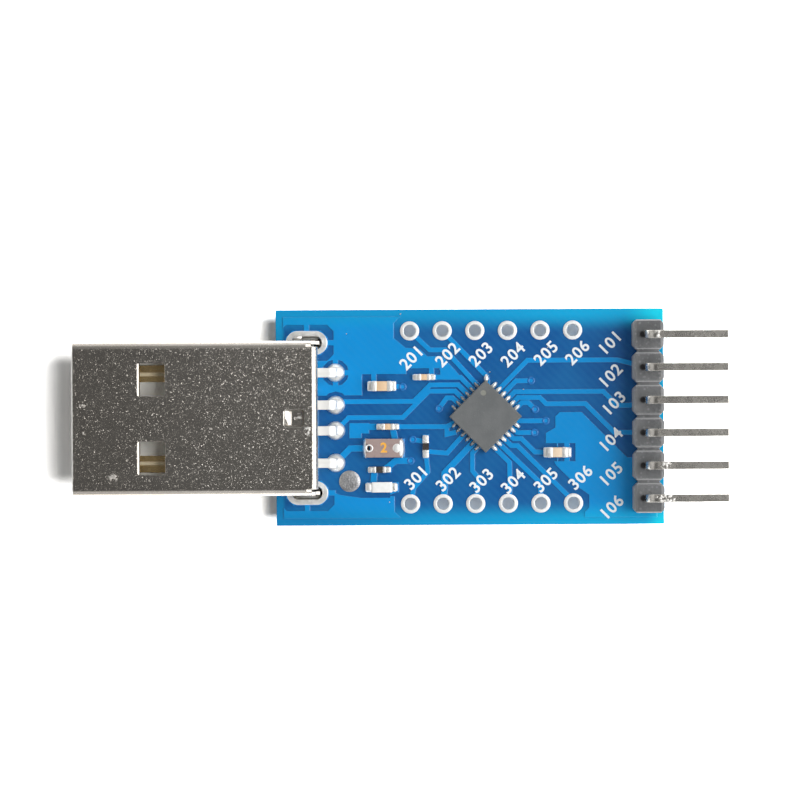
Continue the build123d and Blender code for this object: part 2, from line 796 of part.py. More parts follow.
# Small parts soldered at their ends
def make_end_terminals(part):
    """The two metal ends of a small part."""
    with BuildPart() as ends:
        with BuildSketch(part.plane()):
            with GridLocations(part.length - part.band, 0, 2, 1):
                Rectangle(part.band, part.width)
        extrude(amount=part.height)
    return ends


def make_middle(part, height):
    """The block between the metal ends of a small part."""
    with BuildPart() as middle:
        with BuildSketch(part.plane()):
            Rectangle(part.length - 2 * part.band, part.width)
        extrude(amount=height)
    return middle


def make_coat(part):
    """The dark coat on top of a resistor."""
    with BuildPart() as coat:
        with BuildSketch(part.plane(seat + part.height - resistor_coat)):
            Rectangle(part.length - 2 * part.band, part.width)
        extrude(amount=resistor_coat)
    return coat


capacitor_bodies = [make_middle(part, part.height) for part in capacitors]
capacitor_ends = [make_end_terminals(part) for part in capacitors]
resistor_bodies = [make_middle(part, part.height - resistor_coat) for part in resistors]
resistor_coats = [make_coat(part) for part in resistors]
resistor_ends = [make_end_terminals(part) for part in resistors]

# Lamp: a flat base with metal ends and a clear lens on top
with BuildPart() as led_body:
    with BuildSketch(lamp.plane()):
        Rectangle(lamp.length - 2 * lamp.band, lamp.width)
    extrude(amount=lamp_base_height)

with BuildPart() as led_terminals:
    with BuildSketch(lamp.plane()):
        with GridLocations(lamp.length - lamp.band, 0, 2, 1):
            Rectangle(lamp.band, lamp.width)
    extrude(amount=lamp_base_height)

lens_height = lamp.height - lamp_base_height
with BuildPart() as led_lens:
    with BuildSketch(lamp.plane(seat + lamp_base_height)):
        Rectangle(lamp.length, lamp.width)
    extrude(amount=lens_height)
    chamfer(
        led_lens.faces().sort_by(Axis.Z)[-1].edges().filter_by(Axis.Y),
        length=lamp_lens_taper,
        length2=2 * lamp_lens_taper,
    )

# Fuse: a flat block with a plated half-round notch in each end
with BuildPart() as fuse_body:
    with BuildSketch(fuse.plane()):
        Rectangle(fuse.length, fuse.width)
        with GridLocations(fuse.length, 0, 2, 1):
            RegularPolygon(fuse_notch_radius, pad_sides, mode=Mode.SUBTRACT)
    extrude(amount=fuse.height)

with BuildPart() as fuse_terminals:
    with BuildSketch(fuse.plane()):
        with GridLocations(fuse.length, 0, 2, 1):
            RegularPolygon(fuse_notch_radius, pad_sides)
            RegularPolygon(fuse_notch_radius - fuse_plating, pad_sides, mode=Mode.SUBTRACT)
        Rectangle(fuse.length, fuse.width, mode=Mode.INTERSECT)
    extrude(amount=fuse.height)

with BuildPart() as component_solder:
    for part in small_parts:
        climb = lamp_base_height if part is lamp else solder_climb * part.height
        for side in (-1, 1):
            end_plane = Plane(
                origin=part.plane().from_local_coords((side * part.length / 2, 0, 0)),
                x_dir=part.plane().x_dir * side,
                z_dir=part.plane().x_dir.cross(Vector(0, 0, 1)) * side,
            )
            with BuildSketch(end_plane):
                Polygon(*solder_wedge(part.solder, climb), align=None)
            extrude(amount=part.width / 2, both=True)


# Solder joints at the plug's tails, its tabs and the header's tails
def add_cones(places, level, rise, sides):
    """Add a solder cone at each place; a negative rise points it down."""
    for x, y in places:
        with BuildSketch(board_plane(level)) as foot:
            with Locations((x, y)):
                RegularPolygon(joint_foot, sides)
        with BuildSketch(board_plane(level + rise)) as tip:
            with Locations((x, y)):
                RegularPolygon(joint_tip, sides)
        loft([foot.sketch, tip.sketch], ruled=True)


def add_cores(places):
    """Add the solder that fills each hole, from the board's underside up."""
    with BuildSketch(board_plane(board_bottom)) as cores:
        with Locations(*places):
            RegularPolygon(hole_radius, small_sides)
    extrude(cores.sketch, amount=seat - board_bottom)


with BuildPart() as contact_solder:
    add_cores(contact_row)
    add_cones(contact_row, seat, joint_rise, pad_sides)
    add_cones(contact_row, board_bottom, -under_joint_drop, small_sides)
    for contact in usb_contacts:
        add(contact.part, mode=Mode.SUBTRACT)

with BuildPart() as header_solder:
    add_cores(header_row)
    add_cones(header_row, board_bottom, -under_joint_drop, small_sides)
    for pin in header_pin_parts:
        add(pin.part, mode=Mode.SUBTRACT)

with BuildPart() as tab_solder:
    with BuildSketch(board_plane(board_bottom)):
        with Locations(*tab_slots):
            Polygon(*cut_corners(slot_length, slot_width, slot_corner), align=None)
    extrude(amount=slot_fill)
    slot_joint = cut_corners(
        slot_length + 2 * slot_joint_margin, slot_width + 2 * slot_joint_margin, slot_joint_corner
    )
    # The two slots are alike on both sides of the board's middle
    with BuildSketch(under_board_plane()):
        with Locations(*tab_slots):
            Polygon(*slot_joint, align=None)
    extrude(amount=slot_joint_drop, taper=slot_joint_taper)
    add(usb_shell.part, mode=Mode.SUBTRACT)


# Labels and files
os.makedirs("parts", exist_ok=True)

circuit_board.part.label = "circuit_board"
usb_shell.part.label = "usb_shell"
usb_insulator.part.label = "usb_insulator"
contact_solder.part.label = "contact_solder"
tab_solder.part.label = "tab_solder"
header_body.part.label = "header_body"
header_solder.part.label = "header_solder"
chip_body.part.label = "chip_body"
chip_terminals.part.label = "chip_terminals"
chip_solder.part.label = "chip_solder"
trace_solder_bead.part.label = "trace_solder_bead"
fuse_body.part.label = "fuse_body"
fuse_terminals.part.label = "fuse_terminals"
led_body.part.label = "led_body"
led_terminals.part.label = "led_terminals"
led_lens.part.label = "led_lens"
component_solder.part.label = "component_solder"
for number, contact in enumerate(usb_contacts, 1):
    contact.part.label = f"usb_contact_{number}"
for number, pin in enumerate(header_pin_parts, 1):
    pin.part.label = f"header_pin_{number}"
for number, (body, ends) in enumerate(zip(capacitor_bodies, capacitor_ends), 1):
    body.part.label = f"capacitor_{number}_body"
    ends.part.label = f"capacitor_{number}_terminals"
for number, (body, coat, ends) in enumerate(zip(resistor_bodies, resistor_coats, resistor_ends), 1):
    body.part.label = f"resistor_{number}_body"
    coat.part.label = f"resistor_{number}_coat"
    ends.part.label = f"resistor_{number}_terminals"

export_step(circuit_board.part, "parts/circuit_board.step")
export_step(usb_shell.part, "parts/usb_shell.step")
export_step(usb_insulator.part, "parts/usb_insulator.step")
export_step(contact_solder.part, "parts/contact_solder.step")
export_step(tab_solder.part, "parts/tab_solder.step")
export_step(header_body.part, "parts/header_body.step")
export_step(header_solder.part, "parts/header_solder.step")
export_step(chip_body.part, "parts/chip_body.step")
export_step(chip_terminals.part, "parts/chip_terminals.step")
export_step(chip_solder.part, "parts/chip_solder.step")
export_step(trace_solder_bead.part, "parts/trace_solder_bead.step")
export_step(fuse_body.part, "parts/fuse_body.step")
export_step(fuse_terminals.part, "parts/fuse_terminals.step")
export_step(led_body.part, "parts/led_body.step")
export_step(led_terminals.part, "parts/led_terminals.step")
export_step(led_lens.part, "parts/led_lens.step")
export_step(component_solder.part, "parts/component_solder.step")
numbered = (
    usb_contacts
    + header_pin_parts
    + capacitor_bodies
    + capacitor_ends
    + resistor_bodies
    + resistor_coats
    + resistor_ends
)
for piece in numbered:
    export_step(piece.part, f"parts/{piece.part.label}.step")
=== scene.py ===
import logging
import math
from collections.abc import Callable, Iterator
from contextlib import contextmanager
from dataclasses import dataclass
from enum import Enum

import bpy
from mathutils import Matrix, Vector


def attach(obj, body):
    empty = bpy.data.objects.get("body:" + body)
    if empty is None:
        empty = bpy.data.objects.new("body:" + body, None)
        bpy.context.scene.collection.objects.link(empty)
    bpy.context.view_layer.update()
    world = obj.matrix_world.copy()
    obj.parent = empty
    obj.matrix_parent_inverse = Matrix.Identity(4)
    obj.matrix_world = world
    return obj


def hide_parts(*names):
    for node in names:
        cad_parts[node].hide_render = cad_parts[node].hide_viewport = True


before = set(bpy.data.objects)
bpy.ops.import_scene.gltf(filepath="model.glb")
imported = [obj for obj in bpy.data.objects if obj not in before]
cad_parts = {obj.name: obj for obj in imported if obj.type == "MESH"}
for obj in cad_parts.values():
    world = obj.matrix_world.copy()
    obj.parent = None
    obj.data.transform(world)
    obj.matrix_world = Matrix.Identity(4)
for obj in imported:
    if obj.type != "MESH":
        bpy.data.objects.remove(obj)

# Looks of a USB to serial adapter. Everything is in metres in the frame of the CAD model: X runs
# from the plug to the header, Y runs across the board and Z is up. Sizes of the pieces are written
# in millimetres and measured from the middle of the board's left edge.

log = logging.getLogger("adapter")
MM = 0.001
BOARD_LEFT = -9.75
BOARD_LENGTH = 30.2
BOARD_WIDTH = 16.8
BOARD_BOTTOM = 1.4
BOARD_TOP = 3.0
SEAT = 3.05  # top of the copper, on which the parts stand
HOLE_PITCH = 2.54
ROW_START = 10.44
ROW_Y = 6.74
ROW_HOLES = 6
HEADER_X = 28.95
HEADER_ROWS = [HOLE_PITCH * (2.5 - pin) for pin in range(6)]
TAIL_X = 4.64
TAIL_ROWS = (3.51, 1.0, -1.0, -3.51)

Piece = bpy.types.Object
Node = bpy.types.Node
Socket = bpy.types.NodeSocket
Tree = bpy.types.NodeTree
Colour = tuple[float, float, float]
Size = tuple[float, float, float]
Spot = tuple[float, float]
Section = tuple[Spot, ...]


def srgb(red: int, green: int, blue: int) -> Colour:
    """Turn a screen colour of 0 to 255 into the linear colour that shaders take."""

    def linear(value: float) -> float:
        """Linear value of one channel."""
        return value / 12.92 if value <= 0.04045 else ((value + 0.055) / 1.055) ** 2.4

    return linear(red / 255), linear(green / 255), linear(blue / 255)


def place(x: float, y: float, z: float = SEAT) -> Vector:
    """Point in the frame, from board coordinates in millimetres."""
    return Vector((BOARD_LEFT + x, y, z)) * MM


# Shader trees


class Graph:
    """Adds nodes to one shader tree and joins them."""

    def __init__(self, tree: Tree) -> None:
        """Take the node tree of a material, a world or a group."""
        self.tree = tree

    def add(self, kind: str, settings: dict | None = None, **inputs: object) -> Node:
        """Add a node.

        Args:
            kind: the node's type name after ShaderNode.
            settings: properties of the node itself.
            inputs: input names, with underscores for spaces, and a value or a socket for each.

        Returns:
            The new node.
        """
        node = self.tree.nodes.new("ShaderNode" + kind)
        for name, value in (settings or {}).items():
            setattr(node, name, value)
        self.fill(node, **inputs)
        return node

    def fill(self, node: Node, **inputs: object) -> None:
        """Feed inputs of a node, named with underscores for spaces."""
        for name, value in inputs.items():
            self.feed(node.inputs[name.replace("_", " ")], value)

    def feed(self, socket: Socket, value: object) -> None:
        """Join a socket to another one, or set its value."""
        if isinstance(value, Socket):
            self.tree.links.new(value, socket)
        elif isinstance(value, (tuple, list)) and socket.type == "RGBA" and len(value) == 3:
            socket.default_value = (*value, 1.0)
        else:
            socket.default_value = value

    def math(self, operation: str, first: object, *further: object) -> Socket:
        """Chain Math nodes over two or more values; a lone value is taken with 0."""
        for value in further or (0.0,):
            node = self.add("Math", {"operation": operation})
            self.feed(node.inputs[0], first)
            self.feed(node.inputs[1], value)
            first = node.outputs[0]
        return first

    def times(self, *factors: object) -> Socket:
        """Multiply values."""
        return self.math("MULTIPLY", *factors)

    def off(self, value: object, middle: float) -> Socket:
        """How far a value in metres is from one in millimetres, without its sign."""
        return self.math("ABSOLUTE", self.math("SUBTRACT", value, middle * MM))

    def vector(self, operation: str, first: object, *second: object) -> Socket:
        """Add a Vector Math node and give its vector, or its value if it makes one."""
        node = self.add("VectorMath", {"operation": operation})
        for socket, value in zip(node.inputs, (first, *second)):
            self.feed(socket, value)
        single = operation in ("LENGTH", "DISTANCE", "DOT_PRODUCT")
        return node.outputs["Value" if single else "Vector"]

    def span(
        self, value: object, low: object, high: object, start: float = 0.0, end: float = 1.0
    ) -> Socket:
        """Map low to high onto start to end, smoothly and clamped."""
        node = self.add("MapRange", {"interpolation_type": "SMOOTHSTEP"}, Value=value)
        self.fill(node, From_Min=low, From_Max=high, To_Min=start, To_Max=end)
        return node.outputs["Result"]

    def reach(
        self, value: object, low: float, high: float, start: float = 0.0, end: float = 1.0
    ) -> Socket:
        """Do what span does for a value in metres, between bounds in millimetres."""
        return self.span(value, low * MM, high * MM, start, end)

    def blend(self, share: object, first: object, second: object) -> Socket:
        """Mix two colours by a share of the second."""
        node = self.add("Mix", {"data_type": "RGBA"})
        for number, value in ((0, share), (6, first), (7, second)):
            self.feed(node.inputs[number], value)
        return node.outputs[2]

    def split(self, vector: object) -> tuple[Socket, Socket, Socket]:
        """Separate a vector into X, Y and Z."""
        return tuple(self.add("SeparateXYZ", Vector=vector).outputs)

    def combine(self, first: Socket, second: Socket, share: object = None) -> Socket:
        """Add two shaders, or mix them by a share of the second."""
        node = self.add("AddShader") if share is None else self.add("MixShader", Fac=share)
        for socket, shader in zip(list(node.inputs)[-2:], (first, second)):
            self.feed(socket, shader)
        return node.outputs[0]


@dataclass(frozen=True)
class Effect:
    """A surface effect that finishes share, as a node group with a Vector and named inputs."""

    name: str
    inputs: tuple[tuple[str, object], ...]
    output: str = "Mask"

    def tree(self) -> Tree:
        """Give the effect's node group, which is built the first time."""
        found = bpy.data.node_groups.get(self.name)
        if found:
            return found
        tree = bpy.data.node_groups.new(self.name, "ShaderNodeTree")
        for label, value in (("Vector", None), *self.inputs):
            kind = "NodeSocketFloat" if isinstance(value, float) else "NodeSocketVector"
            socket = tree.interface.new_socket(label, in_out="INPUT", socket_type=kind)
            if value is not None:
                socket.default_value = value
        kind = "NodeSocketFloat" if self.output == "Mask" else "NodeSocketVector"
        tree.interface.new_socket(self.output, in_out="OUTPUT", socket_type=kind)
        given = tree.nodes.new("NodeGroupInput")
        result = self.draw(Graph(tree), given.outputs)
        tree.links.new(result, tree.nodes.new("NodeGroupOutput").inputs[self.output])
        return tree

    def draw(self, graph: Graph, given: bpy.types.NodeOutputs) -> Socket:
        """Draw the effect from the group's inputs."""
        raise NotImplementedError


class Mottle(Effect):
    """Soft cloudy variation."""

    def draw(self, graph: Graph, given: bpy.types.NodeOutputs) -> Socket:
        """Cut a noise to the range from Low to High."""
        noise = graph.add("TexNoise", Vector=given["Vector"], Scale=given["Scale"], Detail=4.0)
        return graph.span(noise.outputs["Fac"], given["Low"], given["High"])


class Specks(Effect):
    """Scattered round specks."""

    def draw(self, graph: Graph, given: bpy.types.NodeOutputs) -> Socket:
        """Put a dot in a share of the cells."""
        cells = graph.add("TexVoronoi", Vector=given["Vector"], Scale=given["Scale"])
        chosen = graph.math("LESS_THAN", graph.split(cells.outputs["Color"])[0], given["Share"])
        return graph.times(chosen, graph.span(cells.outputs["Distance"], 0.18, 0.4, 1.0, 0.0))


class Flakes(Effect):
    """Small crystals that each lean their own way, a few of them strongly."""

    def draw(self, graph: Graph, given: bpy.types.NodeOutputs) -> Socket:
        """Lean the normal by each cell's own colour, most of them hardly at all."""
        cells = graph.add("TexVoronoi", Vector=given["Vector"], Scale=given["Scale"])
        lean = graph.vector("SUBTRACT", cells.outputs["Color"], (0.5, 0.5, 0.5))
        chance = graph.math("POWER", graph.split(cells.outputs["Color"])[2], 4.0)
        amount = graph.times(graph.math("ADD", chance, 0.06), given["Tilt"])
        summed = graph.vector("ADD", given["Normal"], graph.vector("MULTIPLY", lean, amount))
        return graph.vector("NORMALIZE", summed)


class Streaks(Effect):
    """Fine drawn lines along one axis."""

    def draw(self, graph: Graph, given: bpy.types.NodeOutputs) -> Socket:
        """Stretch a noise along the lines."""
        drawn = graph.vector("MULTIPLY", given["Vector"], given["Stretch"])
        noise = graph.add("TexNoise", Vector=drawn, Scale=given["Scale"], Detail=3.0)
        return graph.span(noise.outputs["Fac"], 0.3, 0.7)


MOTTLE = Mottle("cloudy mottle", (("Scale", 1000.0), ("Low", 0.35), ("High", 0.65)))
SPECKS = Specks("scattered specks", (("Scale", 3000.0), ("Share", 0.3)))
FLAKES = Flakes(
    "leaning crystals", (("Scale", 9000.0), ("Tilt", 1.0), ("Normal", None)), "Normal"
)
STREAKS = Streaks("drawn streaks", (("Scale", 2000.0), ("Stretch", (0.06, 1.0, 1.0))))


class Coat(Graph):
    """Shader tree of one finish, round one shader and the object coordinates."""

    def __init__(self, tree: Tree) -> None:
        """Start the tree with its shader and output."""
        super().__init__(tree)
        self.shader = self.add("BsdfPrincipled")
        self.output = self.add("OutputMaterial", Surface=self.shader.outputs["BSDF"])
        self.spot = self.add("TexCoord").outputs["Object"]

    def set(self, **inputs: object) -> None:
        """Feed inputs of the shader."""
        self.fill(self.shader, **inputs)

    def so_far(self, name: str) -> Socket:
        """What an input of the shader is joined to."""
        return self.shader.inputs[name].links[0].from_socket

    def effect(self, effect: Effect, **inputs: object) -> Socket:
        """Place a shared effect on the surface and give its output."""
        node = self.tree.nodes.new("ShaderNodeGroup")
        node.node_tree = effect.tree()
        self.fill(node, Vector=self.spot, **inputs)
        return node.outputs[0]

    def mottle(self, scale: float, low: float = 0.3, high: float = 0.7) -> Socket:
        """Mask of soft clouds."""
        return self.effect(MOTTLE, Scale=scale, Low=low, High=high)

    def near(self, centre: Spot, core: float, edge: float) -> Socket:
        """Mask of a round patch on the top faces.

        Args:
            centre: board coordinates of the patch.
            core: radius in millimetres up to which the mask is full.
            edge: radius in millimetres from which it is empty.

        Returns:
            The mask.
        """
        x, y, _ = self.split(self.spot)
        flat = self.add("CombineXYZ", X=x, Y=y).outputs[0]
        away = self.vector("DISTANCE", flat, tuple(place(*centre, 0)))
        return self.reach(away, core, edge, 1.0, 0.0)

    def bump(
        self, height: object, strength: float, depth: float, normal: object = None
    ) -> Socket:
        """Add a Bump node of a depth in millimetres and give its normal."""
        node = self.add("Bump", Height=height, Strength=strength, Distance=depth * MM)
        if normal is not None:
            self.fill(node, Normal=normal)
        return node.outputs["Normal"]

    def tint(self, share: object, colour: object) -> None:
        """Lay a further colour over the base colour."""
        self.set(Base_Color=self.blend(share, self.so_far("Base Color"), colour))

    def roughen(self, share: object, amount: float) -> None:
        """Add to the roughness where a mask is full."""
        self.set(Roughness=self.math("ADD", self.so_far("Roughness"), self.times(share, amount)))

    def raise_by(self, height: object, strength: float, depth: float) -> None:
        """Raise the surface over the relief it has."""
        self.set(Normal=self.bump(height, strength, depth, self.so_far("Normal")))


# Finishes


@dataclass(frozen=True)
class Finish:
    """A finish that a piece can take; each kind builds its own shader."""

    name: str
    slot: str
    colour: Colour

    def material(self) -> bpy.types.Material:
        """Give the finish's material, which is built the first time."""
        found = bpy.data.materials.get(self.name)
        if found:
            return found
        made = bpy.data.materials.new(self.name)
        made.use_nodes = True
        made.node_tree.nodes.clear()
        made.diffuse_color = (*self.colour, 1.0)
        coat = Coat(made.node_tree)
        coat.set(Base_Color=self.colour)
        self.shade(coat)
        return made

    def shade(self, coat: Coat) -> None:
        """Join the finish's own nodes to the shader."""
        raise NotImplementedError


@dataclass(frozen=True)
class BoardLacquer(Finish):
    """Blue lacquer over copper, darker over the bare board, with glass laminate at the cut edges."""

    cloud: Colour = srgb(0, 143, 216)
    bare: Colour = srgb(0, 86, 154)
    bare_cloud: Colour = srgb(14, 100, 164)
    weave: Colour = srgb(60, 150, 200)
    lit_edge: Colour = srgb(0, 156, 214)
    bright_edge: Colour = srgb(0, 180, 232)
    shaded_edge: Colour = srgb(0, 132, 192)
    corner_glow: Colour = srgb(10, 226, 250)
    laminate: Colour = srgb(176, 158, 108)
    pale_laminate: Colour = srgb(214, 203, 160)

    def bordered(self, coat: Coat, lacquer: Socket) -> Socket:
        """Paint light into the lacquer along the board's edges, brighter to the right, and paint
        shade over the edges near the plug.
        """
        along, across, _ = coat.split(coat.spot)
        half, left, right = BOARD_WIDTH / 2, BOARD_LEFT, BOARD_LEFT + BOARD_LENGTH
        # painted light: paler bands along the edges, where light shines in from the side
        side = coat.reach(coat.math("ABSOLUTE", across), half - 1.9, half - 0.25, 0.0, 0.9)
        end = coat.reach(along, right - 0.8, right - 0.4, 0.0, 0.9)
        start = coat.reach(along, left + 0.4, left + 0.8, 0.9, 0.0)
        farther = coat.reach(along, left + 12, right - 3)
        tone = coat.blend(farther, self.lit_edge, self.bright_edge)
        # painted shade of the plug over the edge bands near it, deepest along the bottom edge
        low = coat.reach(across, -7, 7.6, 1.0, 0.0)
        painted_plug_shade = coat.reach(along, left + 3, left + 13, 1.0, 0.0)
        tone = coat.blend(coat.times(low, painted_plug_shade), tone, self.shaded_edge)
        lacquer = coat.blend(coat.math("MAXIMUM", side, end, start), lacquer, tone)
        # painted glow at the two right corners, where light shines in through the board
        for y, edge in ((half, 3.4), (-half, 1.6)):
            glow = coat.times(coat.near((BOARD_LENGTH, y), 0.2, edge), 0.9)
            lacquer = coat.blend(glow, lacquer, self.corner_glow)
        return lacquer

    def shade(self, coat: Coat) -> None:
        """Colour by height, since the copper stands above the board, and round its edges."""
        height = coat.split(coat.spot)[2]
        on_copper = coat.reach(height, BOARD_TOP + 0.012, SEAT - 0.01)
        cloud, grain = coat.mottle(260.0), coat.mottle(6000.0)
        copper = coat.blend(cloud, self.colour, self.cloud)
        bare = coat.blend(cloud, self.bare, self.bare_cloud)
        lacquer = self.bordered(coat, coat.blend(on_copper, bare, copper))
        weave = coat.add(
            "TexWave", {"wave_type": "BANDS", "bands_direction": "DIAGONAL"}, Vector=coat.spot,
            Scale=900.0,
        )
        woven = coat.blend(coat.times(weave.outputs["Fac"], 0.05), lacquer, self.weave)
        layers = coat.effect(STREAKS, Scale=3000.0, Stretch=(0.05, 0.05, 1.6))
        edge = coat.blend(layers, self.laminate, self.pale_laminate)
        face = coat.split(coat.add("NewGeometry").outputs["Normal"])[2]
        cut = coat.times(
            coat.math("LESS_THAN", height, (BOARD_TOP - 0.015) * MM),
            coat.math("LESS_THAN", coat.math("ABSOLUTE", face), 0.5),
            coat.math("GREATER_THAN", height, (BOARD_BOTTOM + 0.015) * MM),
        )
        rounded = coat.add("Bevel", {"samples": 6}, Radius=0.07 * MM)
        coat.set(
            Base_Color=coat.blend(cut, woven, edge), Roughness=coat.span(grain, 0, 1, 0.2, 0.24),
            Normal=coat.bump(grain, 0.1, 0.0005, rounded.outputs["Normal"]),
            Specular_IOR_Level=0.65,
        )


@dataclass(frozen=True)
class PlatedMetal(Finish):
    """A plated metal with cloudy and speckled variation of colour, gloss and height."""

    shade_colour: Colour = (0.3, 0.29, 0.27)
    roughness: Spot = (0.2, 0.35)
    speck_scale: float = 4000.0
    speck_share: float = 0.3
    depth: float = 0.01
    grain_scale: float = 4000.0
    drawn: Size | None = None
    cloudiness: float = 0.3
    patches: tuple[Size, ...] = ()
    patch_colour: Colour = (0.97, 0.96, 0.93)

    def shade(self, coat: Coat) -> None:
        """Build the plated look."""
        cloud, grain = coat.mottle(self.grain_scale / 6), coat.mottle(self.grain_scale, 0.35, 0.65)
        specks = coat.effect(SPECKS, Scale=self.speck_scale, Share=self.speck_share)
        worn = coat.times(coat.math("ADD", cloud, coat.times(grain, 0.7)), self.cloudiness)
        height = coat.math("ADD", grain, specks)
        if self.drawn:
            lines = coat.effect(STREAKS, Scale=self.grain_scale, Stretch=self.drawn)
            height = coat.math("ADD", height, lines)
        coat.set(
            Metallic=1.0, Base_Color=coat.blend(worn, self.colour, self.shade_colour),
            Roughness=coat.span(grain, 0, 1, *self.roughness),
            Normal=coat.bump(height, 1.0, self.depth),
        )
        if self.patches:
            self.patched(coat)

    def patched(self, coat: Coat) -> None:
        """Lay pale, rough and broken patches over the plating, such as scuffs and spilt solder."""
        whole = [coat.near((x, y), radius * 0.35, radius) for x, y, radius in self.patches]
        share = coat.times(coat.math("MAXIMUM", 0.0, *whole), coat.mottle(3400.0, 0.46, 0.6), 0.85)
        coat.tint(share, self.patch_colour)
        coat.roughen(share, 0.3)
        coat.raise_by(share, 1.0, 0.035)


@dataclass(frozen=True)
class CrystalNickel(PlatedMetal):
    """Matt nickel whose crystals catch the light one by one on the flat top and bottom sheets."""

    crystals: tuple[Spot, ...] = ((16000.0, 0.44), (24000.0, 0.36))
    middle: float = 5.3
    sheet_from: float = 2.215
    front: float = -25.45
    painted_shade_to: float = -11.0
    front_highlight_colour: Colour = (0.95, 0.94, 0.9)

    def shade(self, coat: Coat) -> None:
        """Add the crystals to the plated look, but not on the polished folds, then paint shade
        towards the front and a highlight along the front edge.
        """
        super().shade(coat)
        wavy = coat.so_far("Normal")
        along, _, height = coat.split(coat.spot)
        level = coat.off(height, self.middle)
        flat = coat.reach(level, self.sheet_from, self.sheet_from + 0.03)
        for scale, tilt in self.crystals:
            wavy = coat.effect(FLAKES, Scale=scale, Tilt=coat.times(flat, tilt), Normal=wavy)
        coat.set(Normal=wavy)
        # painted shade: the shell darkens towards its front end
        coat.tint(coat.reach(along, -24, self.painted_shade_to, 0.75, 0.0), self.shade_colour)
        # painted highlight: a pale, rougher line along the shell's front edge
        painted_highlight = coat.reach(along, self.front, self.front + 0.13, 1.0, 0.0)
        coat.tint(painted_highlight, self.front_highlight_colour)
        coat.roughen(painted_highlight, 0.35)


@dataclass(frozen=True)
class ContactPlating(PlatedMetal):
    """Gold flash on the mating part of a contact and tin on its solder tail."""

    tail_colour: Colour = (0.9, 0.9, 0.88)
    highlight_line_colour: Colour = (1.0, 0.9, 0.68)
    tail_from: float = 2.3
    streak_y: float = 3.45

    def shade(self, coat: Coat) -> None:
        """Change from gold to tin behind the insulator, and paint a highlight line along the gold.
        """
        super().shade(coat)
        along, across, _ = coat.split(coat.spot)
        away = coat.off(coat.math("ABSOLUTE", across), self.streak_y)
        # painted highlight along each gold strip, where its rounded face would catch the light
        coat.tint(coat.reach(away, 0.04, 0.2, 0.8, 0.0), self.highlight_line_colour)
        change = BOARD_LEFT + self.tail_from
        tinned = coat.reach(along, change - 0.2, change + 0.2)
        coat.tint(tinned, self.tail_colour)
        coat.set(Roughness=coat.reach(away, 0.04, 0.2, 0.55, 0.25))
        coat.roughen(tinned, 0.3)


@dataclass(frozen=True)
class MouldedPlastic(Finish):
    """A moulded plastic with fine grain, pale scuffs, a little dust and, where asked, a painted
    highlight along its rounded edges.
    """

    scuff: Colour = (0.5, 0.5, 0.5)
    roughness: Spot = (0.45, 0.65)
    grain_scale: float = 5000.0
    depth: float = 0.003
    scuff_share: float = 0.15
    edge_light: float = 0.0

    def shade(self, coat: Coat) -> None:
        """Build the moulded look."""
        grain, cloud = coat.mottle(self.grain_scale), coat.mottle(self.grain_scale / 8, 0.3, 0.75)
        specks = coat.effect(SPECKS, Scale=self.grain_scale, Share=self.scuff_share)
        worn = coat.times(coat.math("ADD", specks, cloud), 0.12)
        coat.set(
            Base_Color=coat.blend(worn, self.colour, self.scuff),
            Roughness=coat.span(grain, 0, 1, *self.roughness),
            Normal=coat.bump(grain, 0.8, self.depth),
        )
        # painted highlight: pale rounded edges where the rounding would catch the light
        if self.edge_light:
            rounded = coat.add("Bevel", {"samples": 6}, Radius=0.1 * MM).outputs["Normal"]
            face = coat.add("NewGeometry").outputs["Normal"]
            along = coat.vector("DOT_PRODUCT", rounded, face)
            edge = coat.span(along, 0.9, 0.995, self.edge_light, 0.0)
            coat.tint(coat.times(edge, coat.span(grain, 0, 1, 0.45, 1.0)), self.scuff)


@dataclass(frozen=True)
class HeaderPlastic(MouldedPlastic):
    """Black plastic with a painted shadow in a slight sunk pocket beside each pin and painted
    highlights along the block edges.
    """

    pocket_x: float = 28.5
    pocket_radius: float = 0.3
    painted_pocket_shade: Colour = (0.004, 0.004, 0.005)
    highlight_lines: Spot = (0.17, 0.07)
    highlight_left: Spot = (18.05, 18.4)

    def painted_highlight(self, coat: Coat) -> Socket:
        """Mask of painted highlight lines along the score between blocks and along the left edge."""
        along, across, _ = coat.split(coat.spot)
        middle, half = self.highlight_lines
        away = coat.off(coat.math("PINGPONG", across, HOLE_PITCH / 2 * MM), middle)
        lines = coat.reach(away, 0.3 * half, half, 0.55, 0.0)
        return coat.math("MAXIMUM", lines, coat.reach(along, *self.highlight_left, 0.22, 0.0))

    def shade(self, coat: Coat) -> None:
        """Add the pockets with their painted shadow and the painted edge highlights to the moulded
        look.
        """
        super().shade(coat)
        # painted highlight along the block edges
        coat.tint(self.painted_highlight(coat), self.scuff)
        # painted shade: a near-black patch left of each pin stands for the pin's shadow and the dark
        # of its hole
        radius = self.pocket_radius
        pockets = [coat.near((self.pocket_x, y), radius * 0.5, radius) for y in HEADER_ROWS]
        mask = coat.math("MAXIMUM", 0.0, *pockets)
        coat.tint(coat.times(mask, 0.93), self.painted_pocket_shade)
        coat.raise_by(coat.times(mask, -1.0), 0.6, 0.1)


@dataclass(frozen=True)
class ChipPlastic(MouldedPlastic):
    """Moulded black plastic with a pale round dimple beside the first terminal."""

    dot_place: Spot = (16.17, 1.88)
    dot_radius: float = 0.25
    dot_colour: Colour = srgb(150, 150, 138)

    def shade(self, coat: Coat) -> None:
        """Add the dimple to the moulded look."""
        super().shade(coat)
        dimple = coat.near(self.dot_place, self.dot_radius * 0.75, self.dot_radius)
        coat.tint(coat.times(dimple, 0.6), self.dot_colour)
        coat.raise_by(coat.times(dimple, -1.0), 0.8, 0.03)


